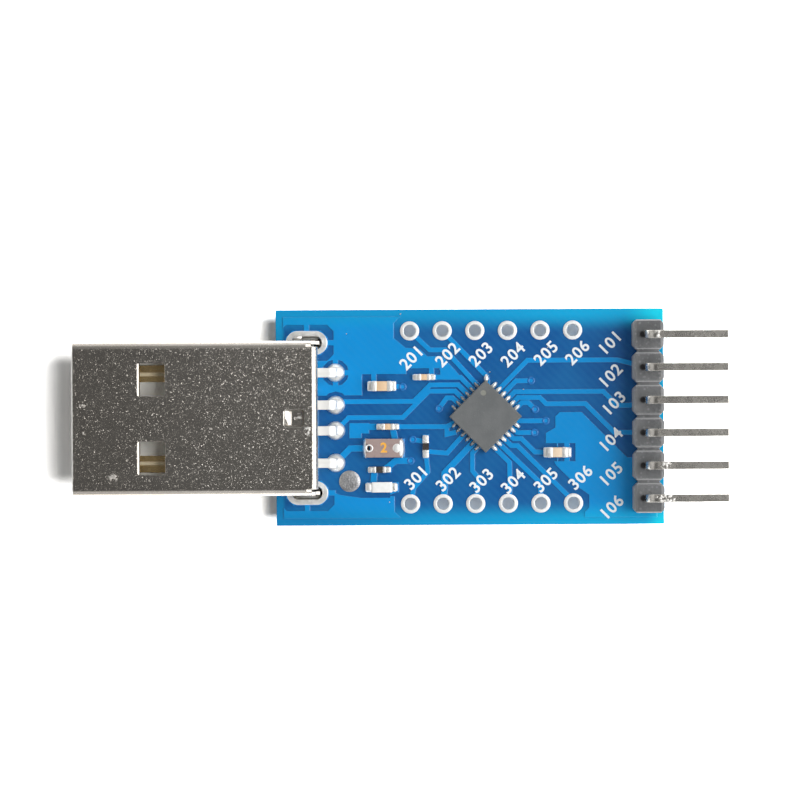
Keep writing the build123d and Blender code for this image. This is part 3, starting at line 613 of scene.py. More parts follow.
@dataclass(frozen=True)
class LampGel(Finish):
    """Milky cast resin that lets some light in."""

    cloud: Colour = srgb(246, 247, 243)

    def shade(self, coat: Coat) -> None:
        """Build the milky look."""
        cloud = coat.mottle(2500.0)
        coat.set(
            Base_Color=coat.blend(cloud, self.colour, self.cloud),
            Roughness=coat.span(cloud, 0, 1, 0.08, 0.2), Subsurface_Weight=0.15,
            Subsurface_Radius=(0.3 * MM, 0.3 * MM, 0.3 * MM), Coat_Weight=0.6,
        )


@dataclass(frozen=True)
class FloorPaper(Finish):
    """Plain pale paper, which the camera sees overexposed except in the adapter's shade, whose zones
    are drawn by position as painted shade.
    """

    layers: int = 4
    plug_front: float = -26.4
    plug_half: float = 4.2
    plug_shade: Spot = (2.5, 1.7)
    left_shade: Spot = (-11.4, -10.1)
    left_half: Spot = (7.4, 8.0)
    under_share: float = 0.72

    def shaded(self, coat: Coat) -> Socket:
        """Mask of painted shade drawn by position: the paper in front of the plug, beside the
        board's left edge and under it.
        """
        along, across, _ = coat.split(coat.spot)
        across = coat.math("ABSOLUTE", across)
        ahead = coat.math("SUBTRACT", self.plug_front * MM, along)
        aside = coat.math("SUBTRACT", across, self.plug_half * MM)
        beyond = [
            coat.math("MAXIMUM", coat.math("DIVIDE", distance, fade * MM), 0.0)
            for distance, fade in zip((ahead, aside), self.plug_shade)
        ]
        away = coat.vector("LENGTH", coat.add("CombineXYZ", X=beyond[0], Y=beyond[1]).outputs[0])
        plug = coat.span(away, 0, 1, 1.0, 0.0)
        beside = coat.reach(across, *self.left_half, 1.0, 0.0)
        edge = coat.times(beside, coat.reach(along, *self.left_shade))
        left = coat.times(coat.math("LESS_THAN", along, 0.0), coat.math("MAXIMUM", plug, edge))
        under = coat.times(
            coat.math("LESS_THAN", across, BOARD_WIDTH / 2 * MM),
            coat.math("GREATER_THAN", along, 0.0),
            coat.math("LESS_THAN", along, (BOARD_LEFT + BOARD_LENGTH) * MM), self.under_share,
        )
        return coat.math("MAXIMUM", left, under)

    def shade(self, coat: Coat) -> None:
        """Lay further coats of white over the paper for the camera and for mirrors."""
        coat.set(Roughness=0.9)
        paper = bright = coat.shader.outputs["BSDF"]
        for _ in range(self.layers):
            bright = coat.combine(bright, coat.add("BsdfDiffuse", Color=self.colour).outputs[0])
        rays = coat.add("LightPath")
        kinds = ("Is Camera Ray", "Is Glossy Ray", "Is Transmission Ray")
        seen = coat.math("MAXIMUM", *(rays.outputs[kind] for kind in kinds))
        share = coat.times(seen, coat.math("SUBTRACT", 1.0, self.shaded(coat)))
        coat.fill(coat.output, Surface=coat.combine(paper, bright, share))


LACQUER = BoardLacquer("blue board lacquer", "solder_mask", srgb(0, 147, 222))
VIA_LACQUER = MouldedPlastic(
    "via lacquer", "solder_mask", srgb(22, 110, 184), srgb(60, 160, 215), (0.15, 0.25),
    5000.0, 0.001, 0.0,
)
NICKEL = CrystalNickel(
    "crystal nickel", "shell_nickel", (0.55, 0.52, 0.475), (0.40, 0.37, 0.33), (0.19, 0.25),
    3600.0, 0.3, 0.0006, 5200.0, None, 0.3,
    (
        (-14.87, 1.05, 0.36), (-14.72, -1.04, 0.24), (2.5, -1.0, 0.42), (1.75, 0.05, 0.4),
        (-12.6, -4.6, 0.5),
    ),
)
CONTACT_METAL = ContactPlating(
    "contact plating", "contact_gold", (0.80, 0.60, 0.30), (0.5, 0.34, 0.16), (0.2, 0.26),
    3000.0, 0.1, 0.001, 2600.0, (0.05, 1.0, 1.0),
)
TIN = PlatedMetal(
    "satin tin", "tin", (0.92, 0.92, 0.90), (0.6, 0.59, 0.57), (0.42, 0.52),
    5000.0, 0.25, 0.003, 4200.0, None, 0.2,
)
RING_TIN = PlatedMetal(
    "bright ring tin", "tin", (0.99, 0.99, 0.98), (0.7, 0.7, 0.69), (0.5, 0.56),
    5000.0, 0.25, 0.002, 3000.0, None, 0.15,
)
PIN_TIN = PlatedMetal(
    "drawn tin", "pin_metal", (0.56, 0.54, 0.50), (0.36, 0.34, 0.31), (0.24, 0.28),
    4000.0, 0.1, 0.0002, 1600.0, (0.08, 1.0, 1.0), 0.3,
    ((29.65, 6.35, 0.4), (30.2, -3.81, 0.5), (29.8, -6.35, 0.5), (30.5, -6.35, 0.5)),
)
SOLDER = PlatedMetal(
    "bright solder", "solder", (0.94, 0.94, 0.92), (0.6, 0.6, 0.59), (0.38, 0.5),
    2600.0, 0.2, 0.008, 2200.0, None, 0.25,
)
PAD_TIN = PlatedMetal(
    "rough pad tin", "tin", (0.56, 0.56, 0.57), (0.14, 0.14, 0.15), (0.34, 0.42),
    7000.0, 0.4, 0.006, 7500.0, None, 0.45,
)
WHITE_PLASTIC = MouldedPlastic(
    "white moulding", "insulator_plastic", srgb(246, 245, 239), srgb(255, 255, 252)
)
HEADER_PLASTIC = HeaderPlastic(
    "black moulding", "header_plastic", srgb(90, 92, 94), srgb(212, 212, 214), (0.4, 0.6),
    3200.0, 0.02, 0.5, 1.0,
)
CHIP_PLASTIC = ChipPlastic(
    "chip moulding", "chip_plastic", srgb(98, 101, 102), srgb(160, 160, 160), (0.45, 0.65),
    7000.0, 0.003, 0.1,
)
FUSE_PLASTIC = MouldedPlastic(
    "fuse laminate", "fuse_laminate", srgb(162, 142, 138), srgb(206, 192, 184), (0.25, 0.4),
    3000.0, 0.002, 0.1, 0.5,
)
CERAMIC = MouldedPlastic(
    "tan ceramic", "capacitor_ceramic", srgb(232, 198, 160), srgb(250, 226, 196), (0.3, 0.5),
    5000.0, 0.002, 0.2,
)
PALE_CERAMIC = MouldedPlastic(
    "cream ceramic", "capacitor_pale", srgb(238, 214, 186), srgb(252, 240, 224), (0.3, 0.5),
    5000.0, 0.002, 0.2,
)
WHITE_CERAMIC = MouldedPlastic("white ceramic", "resistor_ceramic", srgb(226, 226, 222))
GLAZE = MouldedPlastic(
    "dark glaze", "resistor_glaze", srgb(60, 57, 56), srgb(120, 118, 116), (0.15, 0.3),
    3000.0, 0.002,
)
LAMP_WHITE = MouldedPlastic("lamp base", "lamp_base", srgb(225, 225, 220))
LAMP_RESIN = LampGel("lamp resin", "lamp_lens", srgb(255, 255, 254))
INK = MouldedPlastic(
    "white ink", "solder_mask", srgb(240, 246, 250), srgb(255, 255, 255), (0.5, 0.7),
    5000.0, 0.002, 0.1,
)
AMBER_INK = MouldedPlastic("amber ink", "fuse_laminate", srgb(246, 178, 66), srgb(255, 226, 150))
PAPER = FloorPaper("pale paper", "floor", (0.6, 0.6, 0.595))


# Modelling


class Bench:
    """Steps of modelling by hand that the sub-assemblies share."""

    @staticmethod
    def clear() -> None:
        """Leave edit mode and deselect everything."""
        if bpy.context.object and bpy.context.object.mode != "OBJECT":
            bpy.ops.object.mode_set(mode="OBJECT")
        bpy.ops.object.select_all(action="DESELECT")

    @classmethod
    def pick(cls, piece: Piece) -> None:
        """Select one piece alone and make it active."""
        cls.clear()
        piece.select_set(True)
        bpy.context.view_layer.objects.active = piece

    @classmethod
    @contextmanager
    def editing(cls, piece: Piece, whole: bool = True) -> Iterator[None]:
        """Edit a piece, with all of it selected or what was selected before, then leave it."""
        cls.pick(piece)
        bpy.ops.object.mode_set(mode="EDIT")
        if whole:
            bpy.ops.mesh.select_all(action="SELECT")
        yield
        bpy.ops.object.mode_set(mode="OBJECT")

    @staticmethod
    def mark(piece: Piece, chosen: Callable[[Vector], bool], faces: bool = True) -> None:
        """Select the vertices that a test picks, and the edges and faces between them."""
        mesh = piece.data
        for vertex in mesh.vertices:
            vertex.select = chosen(vertex.co)
        for edge in mesh.edges:
            edge.select = all(mesh.vertices[v].select for v in edge.vertices)
        for face in mesh.polygons:
            face.select = faces and all(mesh.vertices[v].select for v in face.vertices)

    @classmethod
    def settle(cls, piece: Piece, name: str) -> Piece:
        """Name a piece."""
        cls.pick(piece)
        bpy.ops.object.transform_apply(location=True, rotation=True, scale=True)
        piece.name = piece.data.name = name
        return piece

    @classmethod
    def modify(cls, piece: Piece, kind: str, **settings: object) -> None:
        """Add a modifier and apply it."""
        cls.pick(piece)
        modifier = piece.modifiers.new(kind.lower(), kind)
        for name, value in settings.items():
            setattr(modifier, name, value)
        bpy.ops.object.modifier_apply(modifier=modifier.name)

    @classmethod
    def smooth(cls, piece: Piece, degrees: float = 40.0, flat: bool = False) -> None:
        """Shade a piece smoothly over its shallow edges.

        Args:
            piece: the piece.
            degrees: edges sharper than this stay sharp.
            flat: keep the broad faces flat, so that only the roundings between them shade.
        """
        cls.pick(piece)
        bpy.ops.object.shade_smooth_by_angle(angle=math.radians(degrees))
        if flat:
            cls.modify(piece, "WEIGHTED_NORMAL", weight=100, keep_sharp=True)

    @classmethod
    def join(cls, name: str, pieces: list[Piece]) -> Piece:
        """Join pieces into one of the given name."""
        cls.pick(pieces[0])
        for piece in pieces:
            piece.select_set(True)
        bpy.ops.object.join()
        joined = bpy.context.object
        joined.name = joined.data.name = name
        return joined

    @classmethod
    def turned(
        cls, name: str, centre: Spot, section: Section, sides: int = 40, closed: bool = True
    ) -> Piece:
        """Turn a section round an upright axis.

        Args:
            name: the piece's name.
            centre: board coordinates of the axis, in millimetres.
            section: radius and height of each ring, in millimetres.
            sides: number of sides of each ring.
            closed: join the last ring to the first; otherwise both ends are capped.

        Returns:
            The turned piece.
        """
        cls.clear()
        radius, height = section[0]
        middle = place(*centre, height)
        bpy.ops.mesh.primitive_circle_add(vertices=sides, radius=radius * MM, location=middle)
        piece = cls.settle(bpy.context.object, name)
        with cls.editing(piece):
            for (near, low), (far, high) in zip(section, section[1:]):
                bpy.ops.mesh.extrude_region_move(
                    TRANSFORM_OT_translate={"value": (0, 0, (high - low) * MM)}
                )
                bpy.ops.transform.resize(
                    value=(far / near, far / near, 1), center_override=place(*centre, high)
                )
            if closed:
                bpy.ops.mesh.select_non_manifold(extend=False)
                bpy.ops.mesh.bridge_edge_loops()
            else:
                bpy.ops.mesh.edge_face_add()
                bpy.ops.mesh.select_non_manifold(extend=False)
                bpy.ops.mesh.edge_face_add()
            bpy.ops.mesh.select_all(action="SELECT")
            bpy.ops.mesh.normals_make_consistent(inside=False)
        return piece

    @classmethod
    def turned_row(
        cls, name: str, spots: list[Spot], section: Section, sides: int, degrees: float,
        closed: bool = False, twist: float = 0.0,
    ) -> Piece:
        """Turn a section once, copy it to further places and join all into one piece.

        Args:
            name: the piece's name.
            spots: board coordinates of each, in millimetres.
            section: radius and height of each ring, in millimetres.
            sides: number of sides of each ring.
            degrees: edges sharper than this stay sharp.
            closed: join the last ring to the first; otherwise both ends are capped.
            twist: how much further each copy is turned than the one before, in radians.

        Returns:
            The joined piece.
        """
        piece = cls.turned(name, spots[0], section, sides, closed)
        middle = sum((Vector(corner) for corner in piece.bound_box), Vector()) / 8
        pieces = [piece]
        for number, spot in enumerate(spots[1:], 1):
            twin = bpy.data.objects.new(name + "_twin", piece.data.copy())
            bpy.context.scene.collection.objects.link(twin)
            shift = place(*spot) - place(*spots[0])
            turn = Matrix.Rotation(twist * number, 4, "Z")
            twin.data.transform(
                Matrix.Translation(middle + shift) @ turn @ Matrix.Translation(-middle)
            )
            pieces.append(twin)
        joined = cls.join(name, pieces)
        cls.smooth(joined, degrees)
        return joined

    @classmethod
    def drawn_out(cls, piece: Piece, middle: float, reach: float) -> Piece:
        """Lengthen a round piece along the board into an oval one.

        Args:
            piece: the round piece.
            middle: its middle along X, in metres.
            reach: how far each half moves, in millimetres.

        Returns:
            The same piece.
        """
        for way in (-1, 1):
            cls.mark(piece, lambda spot, way=way: (spot.x - middle) * way > -1e-9)
            with cls.editing(piece, whole=False):
                bpy.ops.transform.translate(value=(way * reach * MM, 0, 0))
        return piece

    @classmethod
    def shaped(
        cls, add: Callable, name: str, centre: Vector, scale: Size, turn: float = 0.0,
        **settings: object,
    ) -> Piece:
        """Add a primitive at its place and size.

        Args:
            add: the operator that adds it.
            name: the piece's name.
            centre: its middle, in the frame.
            scale: its scale along each axis, in millimetres.
            turn: its turn about the upright, in degrees.
            settings: further settings of the operator.

        Returns:
            The new piece.
        """
        cls.clear()
        add(location=centre, rotation=(0, 0, math.radians(turn)), **settings)
        piece = bpy.context.object
        piece.scale = Vector(scale) * MM
        return cls.settle(piece, name)

    @classmethod
    def block(
        cls, name: str, centre: Vector, size: Size, turn: float = 0.0, edge: float = 0.05,
        segments: int = 3,
    ) -> Piece:
        """Make a block of a length, width and height, with edges rounded in so many steps."""
        cube = bpy.ops.mesh.primitive_cube_add
        piece = cls.shaped(cube, name, centre, size, turn, size=1.0)
        cls.modify(piece, "BEVEL", width=edge * MM, segments=segments, limit_method="ANGLE")
        cls.smooth(piece, 50, flat=True)
        return piece

    @classmethod
    def dome(
        cls, name: str, foot: Vector, radii: Size, turn: float = 0.0, cut: bool = True
    ) -> Piece:
        """Make a rounded drop of solder, flat at its foot or as deep below as it is high."""
        ball = bpy.ops.mesh.primitive_uv_sphere_add
        piece = cls.shaped(
            ball, name, foot, radii, turn, segments=18, ring_count=12, radius=1.0
        )
        if cut:
            cls.cut(piece, foot, (0, 0, 1), upper=True)
        return piece

    @classmethod
    def cut(
        cls, piece: Piece, point: Vector | Size, way: Size, upper: bool = False,
        threshold: float = 0.0001,
    ) -> None:
        """Cut a piece at a plane and close it.

        Args:
            piece: the piece.
            point: a point of the plane, in metres.
            way: the plane's normal.
            upper: keep what lies on the normal's side; otherwise the rest.
            threshold: how close to the plane a vertex counts as on it, in metres.
        """
        with cls.editing(piece):
            bpy.ops.mesh.bisect(
                plane_co=point, plane_no=way, clear_inner=upper, clear_outer=not upper,
                use_fill=True, threshold=threshold,
            )

    @classmethod
    def text(
        cls, name: str, body: str, centre: Vector, scale: float, offset: float, extrude: float,
        turn: float = 0.0, steps: int = 12, spacing: float = 1.0,
    ) -> Piece:
        """Make printed digits.

        Args:
            name: the piece's name.
            body: the digits.
            centre: their middle, in the frame.
            scale: size of the letters in millimetres.
            offset: how much the strokes are widened, as a share of the size.
            extrude: half their thickness, as a share of the size.
            turn: their turn about the upright, in degrees.
            steps: steps of each curve.
            spacing: distance from digit to digit, as a share of the usual one.

        Returns:
            The digits as a mesh.
        """
        cls.clear()
        bpy.ops.object.text_add(location=(0, 0, 0))
        words = bpy.context.object.data
        words.body = body
        words.align_x = words.align_y = "CENTER"
        words.offset, words.extrude = offset, extrude
        words.resolution_u, words.space_character = steps, spacing
        bpy.ops.object.convert(target="MESH")
        piece = bpy.context.object
        piece.scale = (scale * MM, scale * MM, scale * MM)
        piece.rotation_euler = (0, 0, math.radians(turn))
        piece.location = centre
        return cls.settle(piece, name)

    @classmethod
    def softened(
        cls, node: str, name: str, finish: Finish, edge: float = 0.03, segments: int = 2
    ) -> Piece:
        """Let a copy of a CAD node with rounded edges stand for it.

        Args:
            node: the CAD node.
            name: the new piece's name.
            finish: the new piece's finish.
            edge: radius of the rounding in millimetres.
            segments: steps of the rounding.

        Returns:
            The new piece.
        """
        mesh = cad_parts[node].data.copy()
        mesh.name = name
        piece = bpy.data.objects.new(name, mesh)
        bpy.context.scene.collection.objects.link(piece)
        with cls.editing(piece):
            bpy.ops.mesh.remove_doubles(threshold=0.0005 * MM)
            bpy.ops.mesh.dissolve_limited(angle_limit=math.radians(0.5))
        cls.modify(
            piece, "BEVEL", width=edge * MM, segments=segments, limit_method="ANGLE",
            angle_limit=math.radians(28), use_clamp_overlap=False, miter_outer="MITER_ARC",
        )
        cls.smooth(piece, 50, flat=True)
        return cls.dress(piece, finish, node)

    @staticmethod
    def dress(piece: Piece, finish: Finish, *nodes: str) -> Piece:
        """Give a piece its finish, let it ride with the adapter and stand for CAD nodes."""
        if nodes:
            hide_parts(*nodes)
        piece.data.materials.clear()
        piece.data.materials.append(finish.material())
        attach(piece, "root")
        log.info("piece %s in %s", piece.name, finish.name)
        return piece

    @staticmethod
    def refinish(node: str, finish: Finish) -> None:
        """Give a CAD node a better material."""
        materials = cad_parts[node].data.materials
        materials.clear()
        materials.append(finish.material())
        log.info("node %s in %s", node, finish.name)


# Sub-assemblies


@dataclass
class Board:
    """The circuit board with its plated holes, vias, test pad and printed numbers."""

    hole_radius: float = 0.5
    ring_radius: float = 0.75
    plating: float = 0.03
    slot_x: float = 2.4
    slot_y: float = 5.85
    slot_half: float = 0.7
    vias: tuple[Spot, ...] = (
        (12.69, 0.67), (19.88, 2.81), (20.19, 0.57), (21.02, -0.32), (20.13, -1.23),
        (10.64, -1.73), (10.47, -3.38), (9.87, 2.39),
    )
    test_pad: Spot = (5.71, -4.95)
    number_scale: float = 0.92 / 0.72
    side_numbers: tuple[Spot, ...] = (
        (26.09, 5.7), (26.09, 3.12), (26.36, 0.98), (26.09, -1.87), (26.09, -4.55), (26.13, -7.13),
    )
    top_numbers: tuple[Spot, ...] = (
        (10.62, 4.63), (13.41, 4.85), (16.02, 4.87), (18.51, 4.82), (21.09, 4.92), (23.54, 4.95),
    )
    bottom_numbers: tuple[Spot, ...] = (
        (10.93, -4.72), (13.4, -4.85), (16.02, -4.98), (18.47, -5.07), (21.03, -4.97),
        (23.72, -4.79),
    )
    dust_spots: tuple[Spot, ...] = (
        (19.29, 2.12), (9.74, 8.06), (5.53, 6.53), (8.81, -6.59), (16.68, 3.5), (21.2, 5.4),
    )

    def build(self) -> None:
        """Build and dress all of the board."""
        Bench.refinish("circuit_board", LACQUER)
        self.eyelets()
        self.slot_rims()
        self.via_rims()
        self.pad_face()
        self.numbers()
        self.dust()

    def eyelets(self) -> None:
        """Tinned rings round the free holes, with the plated walls between them."""
        wall, ring = self.hole_radius - self.plating, self.ring_radius
        top, bottom = SEAT + 0.022, BOARD_BOTTOM - 0.022
        section = (
            (wall, BOARD_BOTTOM + 0.2), (wall, SEAT - 0.1), (wall + 0.012, SEAT + 0.005),
            (wall + 0.04, top), (ring - 0.05, top), (ring - 0.012, top - 0.008),
            (ring, SEAT - 0.02), (self.hole_radius + 0.05, SEAT - 0.04),
            (self.hole_radius + 0.05, BOARD_BOTTOM + 0.04), (ring, BOARD_BOTTOM + 0.02),
            (ring - 0.012, bottom + 0.008), (ring - 0.05, bottom), (wall + 0.04, bottom),
            (wall + 0.012, BOARD_BOTTOM - 0.005),
        )
        spots = [
            (ROW_START + HOLE_PITCH * i, y) for y in (ROW_Y, -ROW_Y) for i in range(ROW_HOLES)
        ]
        rings = Bench.turned_row("hole_eyelets", spots, section, 48, 30, closed=True)
        Bench.dress(rings, RING_TIN)

    def slot_rims(self) -> None:
        """Tinned oval rims round the two slots for the plug's tabs."""
        section = (
            (0.5, BOARD_BOTTOM + 0.3), (0.5, SEAT), (0.54, SEAT + 0.03), (0.88, SEAT + 0.03),
            (0.95, SEAT - 0.02), (0.56, SEAT - 0.04), (0.56, BOARD_BOTTOM + 0.3),
        )
        rims = [
            Bench.drawn_out(
                Bench.turned("slot_rim", (self.slot_x, side * self.slot_y), section, 48),
                place(self.slot_x, 0).x, self.slot_half,
            )
            for side in (-1, 1)
        ]
        piece = Bench.join("slot_rims", rims)
        Bench.smooth(piece, 30)
        Bench.dress(piece, SOLDER)

    def via_rims(self) -> None:
        """Lacquered rims of the small through connections, each with its sunk middle."""
        section = (
            (0.3, SEAT - 0.01), (0.29, SEAT + 0.012), (0.25, SEAT + 0.026), (0.19, SEAT + 0.024),
            (0.14, SEAT + 0.004), (0.1, SEAT - 0.03), (0.05, SEAT - 0.045),
        )
        rims = Bench.turned_row("via_rims", list(self.vias), section, 28, 50)
        Bench.dress(rims, VIA_LACQUER)

    def pad_face(self) -> None:
        """Tinned face of the round test pad, a little domed."""
        section = (
            (0.83, SEAT - 0.02), (0.83, SEAT + 0.01), (0.8, SEAT + 0.03), (0.6, SEAT + 0.045),
            (0.3, SEAT + 0.052), (0.05, SEAT + 0.054),
        )
        Bench.dress(Bench.turned_row("test_pad_face", [self.test_pad], section, 48, 50), PAD_TIN)

    def numbers(self) -> None:
        """Print a plain number beside each pin and hole, reading up to the right."""
        rows = (self.side_numbers, self.top_numbers, self.bottom_numbers)
        made = [
            Bench.text(
                "number", f"{series}0{count}", place(*spot, SEAT - 0.015), self.number_scale,
                0.022, 0.03, 45, 4, 1.12,
            )
            for series, spots in enumerate(rows, 1)
            for count, spot in enumerate(spots, 1)
        ]
        Bench.dress(Bench.join("printed_numbers", made), INK)

    def dust(self) -> None:
        """A few grains of dust that lie on the lacquer."""
        grains = [
            Bench.dome("dust_grain", place(x, y, 3.02), (0.07, 0.05, 0.05), 40 * i)
            for i, (x, y) in enumerate(self.dust_spots)
        ]
        piece = Bench.join("dust_grains", grains)
        Bench.smooth(piece, 60)
        Bench.dress(piece, INK)


@dataclass
class Plug:
    """The USB plug: its folded shell, insulator and four contacts."""

    shell_top: float = 7.55
    window_front: Spot = (-10.7, 3.035)
    window_width: float = 2.55
    lip: float = 0.27
    tongue_x: float = 0.66
    tongue: Size = (0.58, 1.17, 0.6)
    tongue_lean: float = 25.0

    def build(self) -> None:
        """Soften the stamped and moulded edges and dress each piece."""
        shell = Bench.softened("usb_shell", "plug_shell", NICKEL)
        above = (0, 0, (self.shell_top + 0.0001) * MM)
        Bench.cut(shell, above, (0, 0, 1), threshold=1e-8)
        self.window_lips()
        self.tongue_slope()
        Bench.softened("usb_insulator", "plug_insulator", WHITE_PLASTIC)
        for number in range(1, len(TAIL_ROWS) + 1):
            Bench.softened(f"usb_contact_{number}", f"plug_contact_{number}", CONTACT_METAL)

    def window_lips(self) -> None:
        """Turned-down front edges of the two windows, each a long block with one round edge."""
        lips = []
        x, y = self.window_front
        size = (self.lip + 0.04, self.window_width, self.lip)
        for side in (-1, 1):
            centre = place(x + self.lip / 2 - 0.02, side * y, self.shell_top - self.lip / 2)
            cube = bpy.ops.mesh.primitive_cube_add
            piece = Bench.shaped(cube, "window_lip", centre, size, size=1.0)
            Bench.mark(piece, lambda c, at=centre: c.x > at.x and c.z > at.z, faces=False)
            with Bench.editing(piece, whole=False):
                bpy.ops.mesh.bevel(offset=0.96 * self.lip * MM, segments=8, affect="EDGES")
            lips.append(piece)
        piece = Bench.join("window_lips", lips)
        Bench.smooth(piece, 40, flat=True)
        Bench.dress(piece, NICKEL)

    def tongue_slope(self) -> None:
        """Polished slope at the root of the tongue that is pressed in behind the windows."""
        length, _, drop = self.tongue
        top = self.shell_top - 0.04
        centre = place(self.tongue_x + length / 2, 0, top - drop / 2)
        piece = Bench.block("tongue_slope", centre, self.tongue, 0.0, 0.1)
        lean = math.radians(self.tongue_lean)
        Bench.cut(piece, place(self.tongue_x, 0, top), (math.sin(lean), 0, math.cos(lean)))
        Bench.modify(piece, "BEVEL", width=0.02 * MM, segments=2, limit_method="ANGLE")
        Bench.smooth(piece, 50, flat=True)
        Bench.dress(piece, NICKEL)


@dataclass
class Header:
    """The pin header: its ribbed body and six bent pins."""

    edge: float = 0.05

    def build(self) -> None:
        """Soften and dress the body and the pins."""
        Bench.softened("header_body", "header_block", HEADER_PLASTIC, self.edge)
        for pin in range(1, len(HEADER_ROWS) + 1):
            Bench.softened(f"header_pin_{pin}", f"bent_pin_{pin}", PIN_TIN, self.edge)


@dataclass
class SolderJoints:
    """Solder cones at the plug's tails and under the header, and the fillets at the tabs."""

    under: Section = (
        (0.33, 0.6), (0.37, 0.63), (0.42, 0.76), (0.5, 0.98), (0.6, 1.22), (0.7, 1.37),
        (0.72, 1.4),
    )
    core: Section = ((0.5, 1.42), (0.5, 3.0))
    over: Section = (
        (0.73, 3.05), (0.72, 3.14), (0.65, 3.27), (0.53, 3.39), (0.38, 3.48), (0.22, 3.53),
        (0.1, 3.54),
    )
    pin_end: Section = ((0.4, 3.04),)
    twist: float = 1.7

    def build(self) -> None:
        """Build the joints and dress them."""
        for name, x, rows, end, node in (
            ("tail_joints", TAIL_X, TAIL_ROWS, self.over, "contact_solder"),
            ("pin_joints", HEADER_X, HEADER_ROWS, self.pin_end, "header_solder"),
        ):
            section = self.under + self.core + end
            spots = [(x, y) for y in rows]
            joints = Bench.turned_row(name, spots, section, 40, 60, twist=self.twist)
            Bench.dress(joints, SOLDER, node)
        Bench.softened("tab_solder", "tab_joints", SOLDER, 0.12, 3)
        bead = Bench.dome("trace_bead", place(16.4, 3.02), (0.34, 0.2, 0.25), 90)
        Bench.smooth(bead, 60)
        Bench.dress(bead, SOLDER, "trace_solder_bead")
        spilt = Bench.dome("slot_solder", place(1.55, 6.3, 2.8), (0.55, 0.34, 0.2))
        Bench.smooth(spilt, 60)
        Bench.dress(spilt, SOLDER)


@dataclass
class Chip:
    """The square chip, turned by 45 degrees, with solder at each of its terminals."""

    centre: Spot = (16.32, 0.04)
    size: float = 4.0
    terminals_per_side: int = 6
    pitch: float = 0.5
    full: Size = (0.4, 0.17, 0.26)
    thin: Size = (0.36, 0.13, 0.18)

    def build(self) -> None:
        """Build and dress the chip, with fuller fillets on its two right sides and thinner ones on
        its left sides, darker as painted shade.
        """
        Bench.softened("chip_body", "chip_moulding", CHIP_PLASTIC, 0.02)
        Bench.refinish("chip_terminals", TIN)
        full = self.fillets("full_terminal_fillets", (0, 3), self.full)
        Bench.dress(full, SOLDER, "chip_solder")
        # painted shade: the fillets of the two left sides take the darker pad tin
        Bench.dress(self.fillets("shaded_terminal_fillets", (1, 2), self.thin), PAD_TIN)

    def fillets(self, name: str, sides: Spot, radii: Size) -> Piece:
        """Rounded solder fillets at the foot of each terminal of some sides.

        Args:
            name: the piece's name.
            sides: the sides, counted by quarter turns from the upper right one.
            radii: half the length, half the width and the height of each in millimetres.

        Returns:
            All the fillets as one piece.
        """
        made = []
        for side in sides:
            angle = 45 + 90 * side
            turn = Matrix.Rotation(math.radians(angle), 4, "Z")
            for number in range(self.terminals_per_side):
                along = (number - (self.terminals_per_side - 1) / 2) * self.pitch
                foot = place(*self.centre) + turn @ (Vector((self.size / 2 + 0.13, along, 0)) * MM)
                made.append(Bench.dome("fillet", foot, radii, angle))
        joined = Bench.join(name, made)
        Bench.smooth(joined, 60)
        return joined


class Middle(Enum):
    """Finish of what lies between the two metal ends of a small part."""

    TAN = CERAMIC
    CREAM = PALE_CERAMIC
    GLAZED = WHITE_CERAMIC


@dataclass
class EndCapped:
    """A small part with rounded metal caps at its two ends."""

    node: str
    x: float
    y: float
    length: float
    width: float
    height: float
    band: float
    solder: float
    middle: Middle
    turn: float = 0.0

    def lump(
        self, name: str, along: float, size: Size, edge: float, segments: int = 3
    ) -> Piece:
        """Rounded block that stands on the board, so far along the part's middle line."""
        angle = math.radians(self.turn)
        x, y = self.x + along * math.cos(angle), self.y + along * math.sin(angle)
        centre = place(x, y, SEAT + size[2] / 2)
        return Bench.block(name, centre, size, self.turn, edge, segments)

    def pair(self, name: str, size: Size, along: float, edge: float, segments: int) -> list[Piece]:
        """The same block at both ends."""
        return [self.lump(name, side * along, size, edge, segments) for side in (-1, 1)]

    def fillets(self) -> list[Piece]:
        """Rounded solder fillets that climb both ends."""
        size = (self.solder + 0.1, 0.98 * self.width, 0.62 * self.height)
        return self.pair("fillet", size, (self.length + self.solder) / 2 - 0.05, 0.13, 4)

    def build(self) -> None:
        """Build the caps and the middle, and dress them."""
        size = (self.band, self.width, self.height)
        caps = self.pair("cap", size, (self.length - self.band) / 2, 0.06, 3)
        ends = Bench.join(f"{self.node}_caps", caps)
        Bench.dress(ends, TIN, f"{self.node}_terminals")
        slim = (self.length - 2 * self.band + 0.1, self.width - 0.04, self.height - 0.04)
        body = self.lump(f"{self.node}_middle", 0, slim, 0.04, 2)
        Bench.dress(body, self.middle.value, f"{self.node}_body")
        if self.middle is Middle.GLAZED:
            Bench.refinish(f"{self.node}_coat", GLAZE)


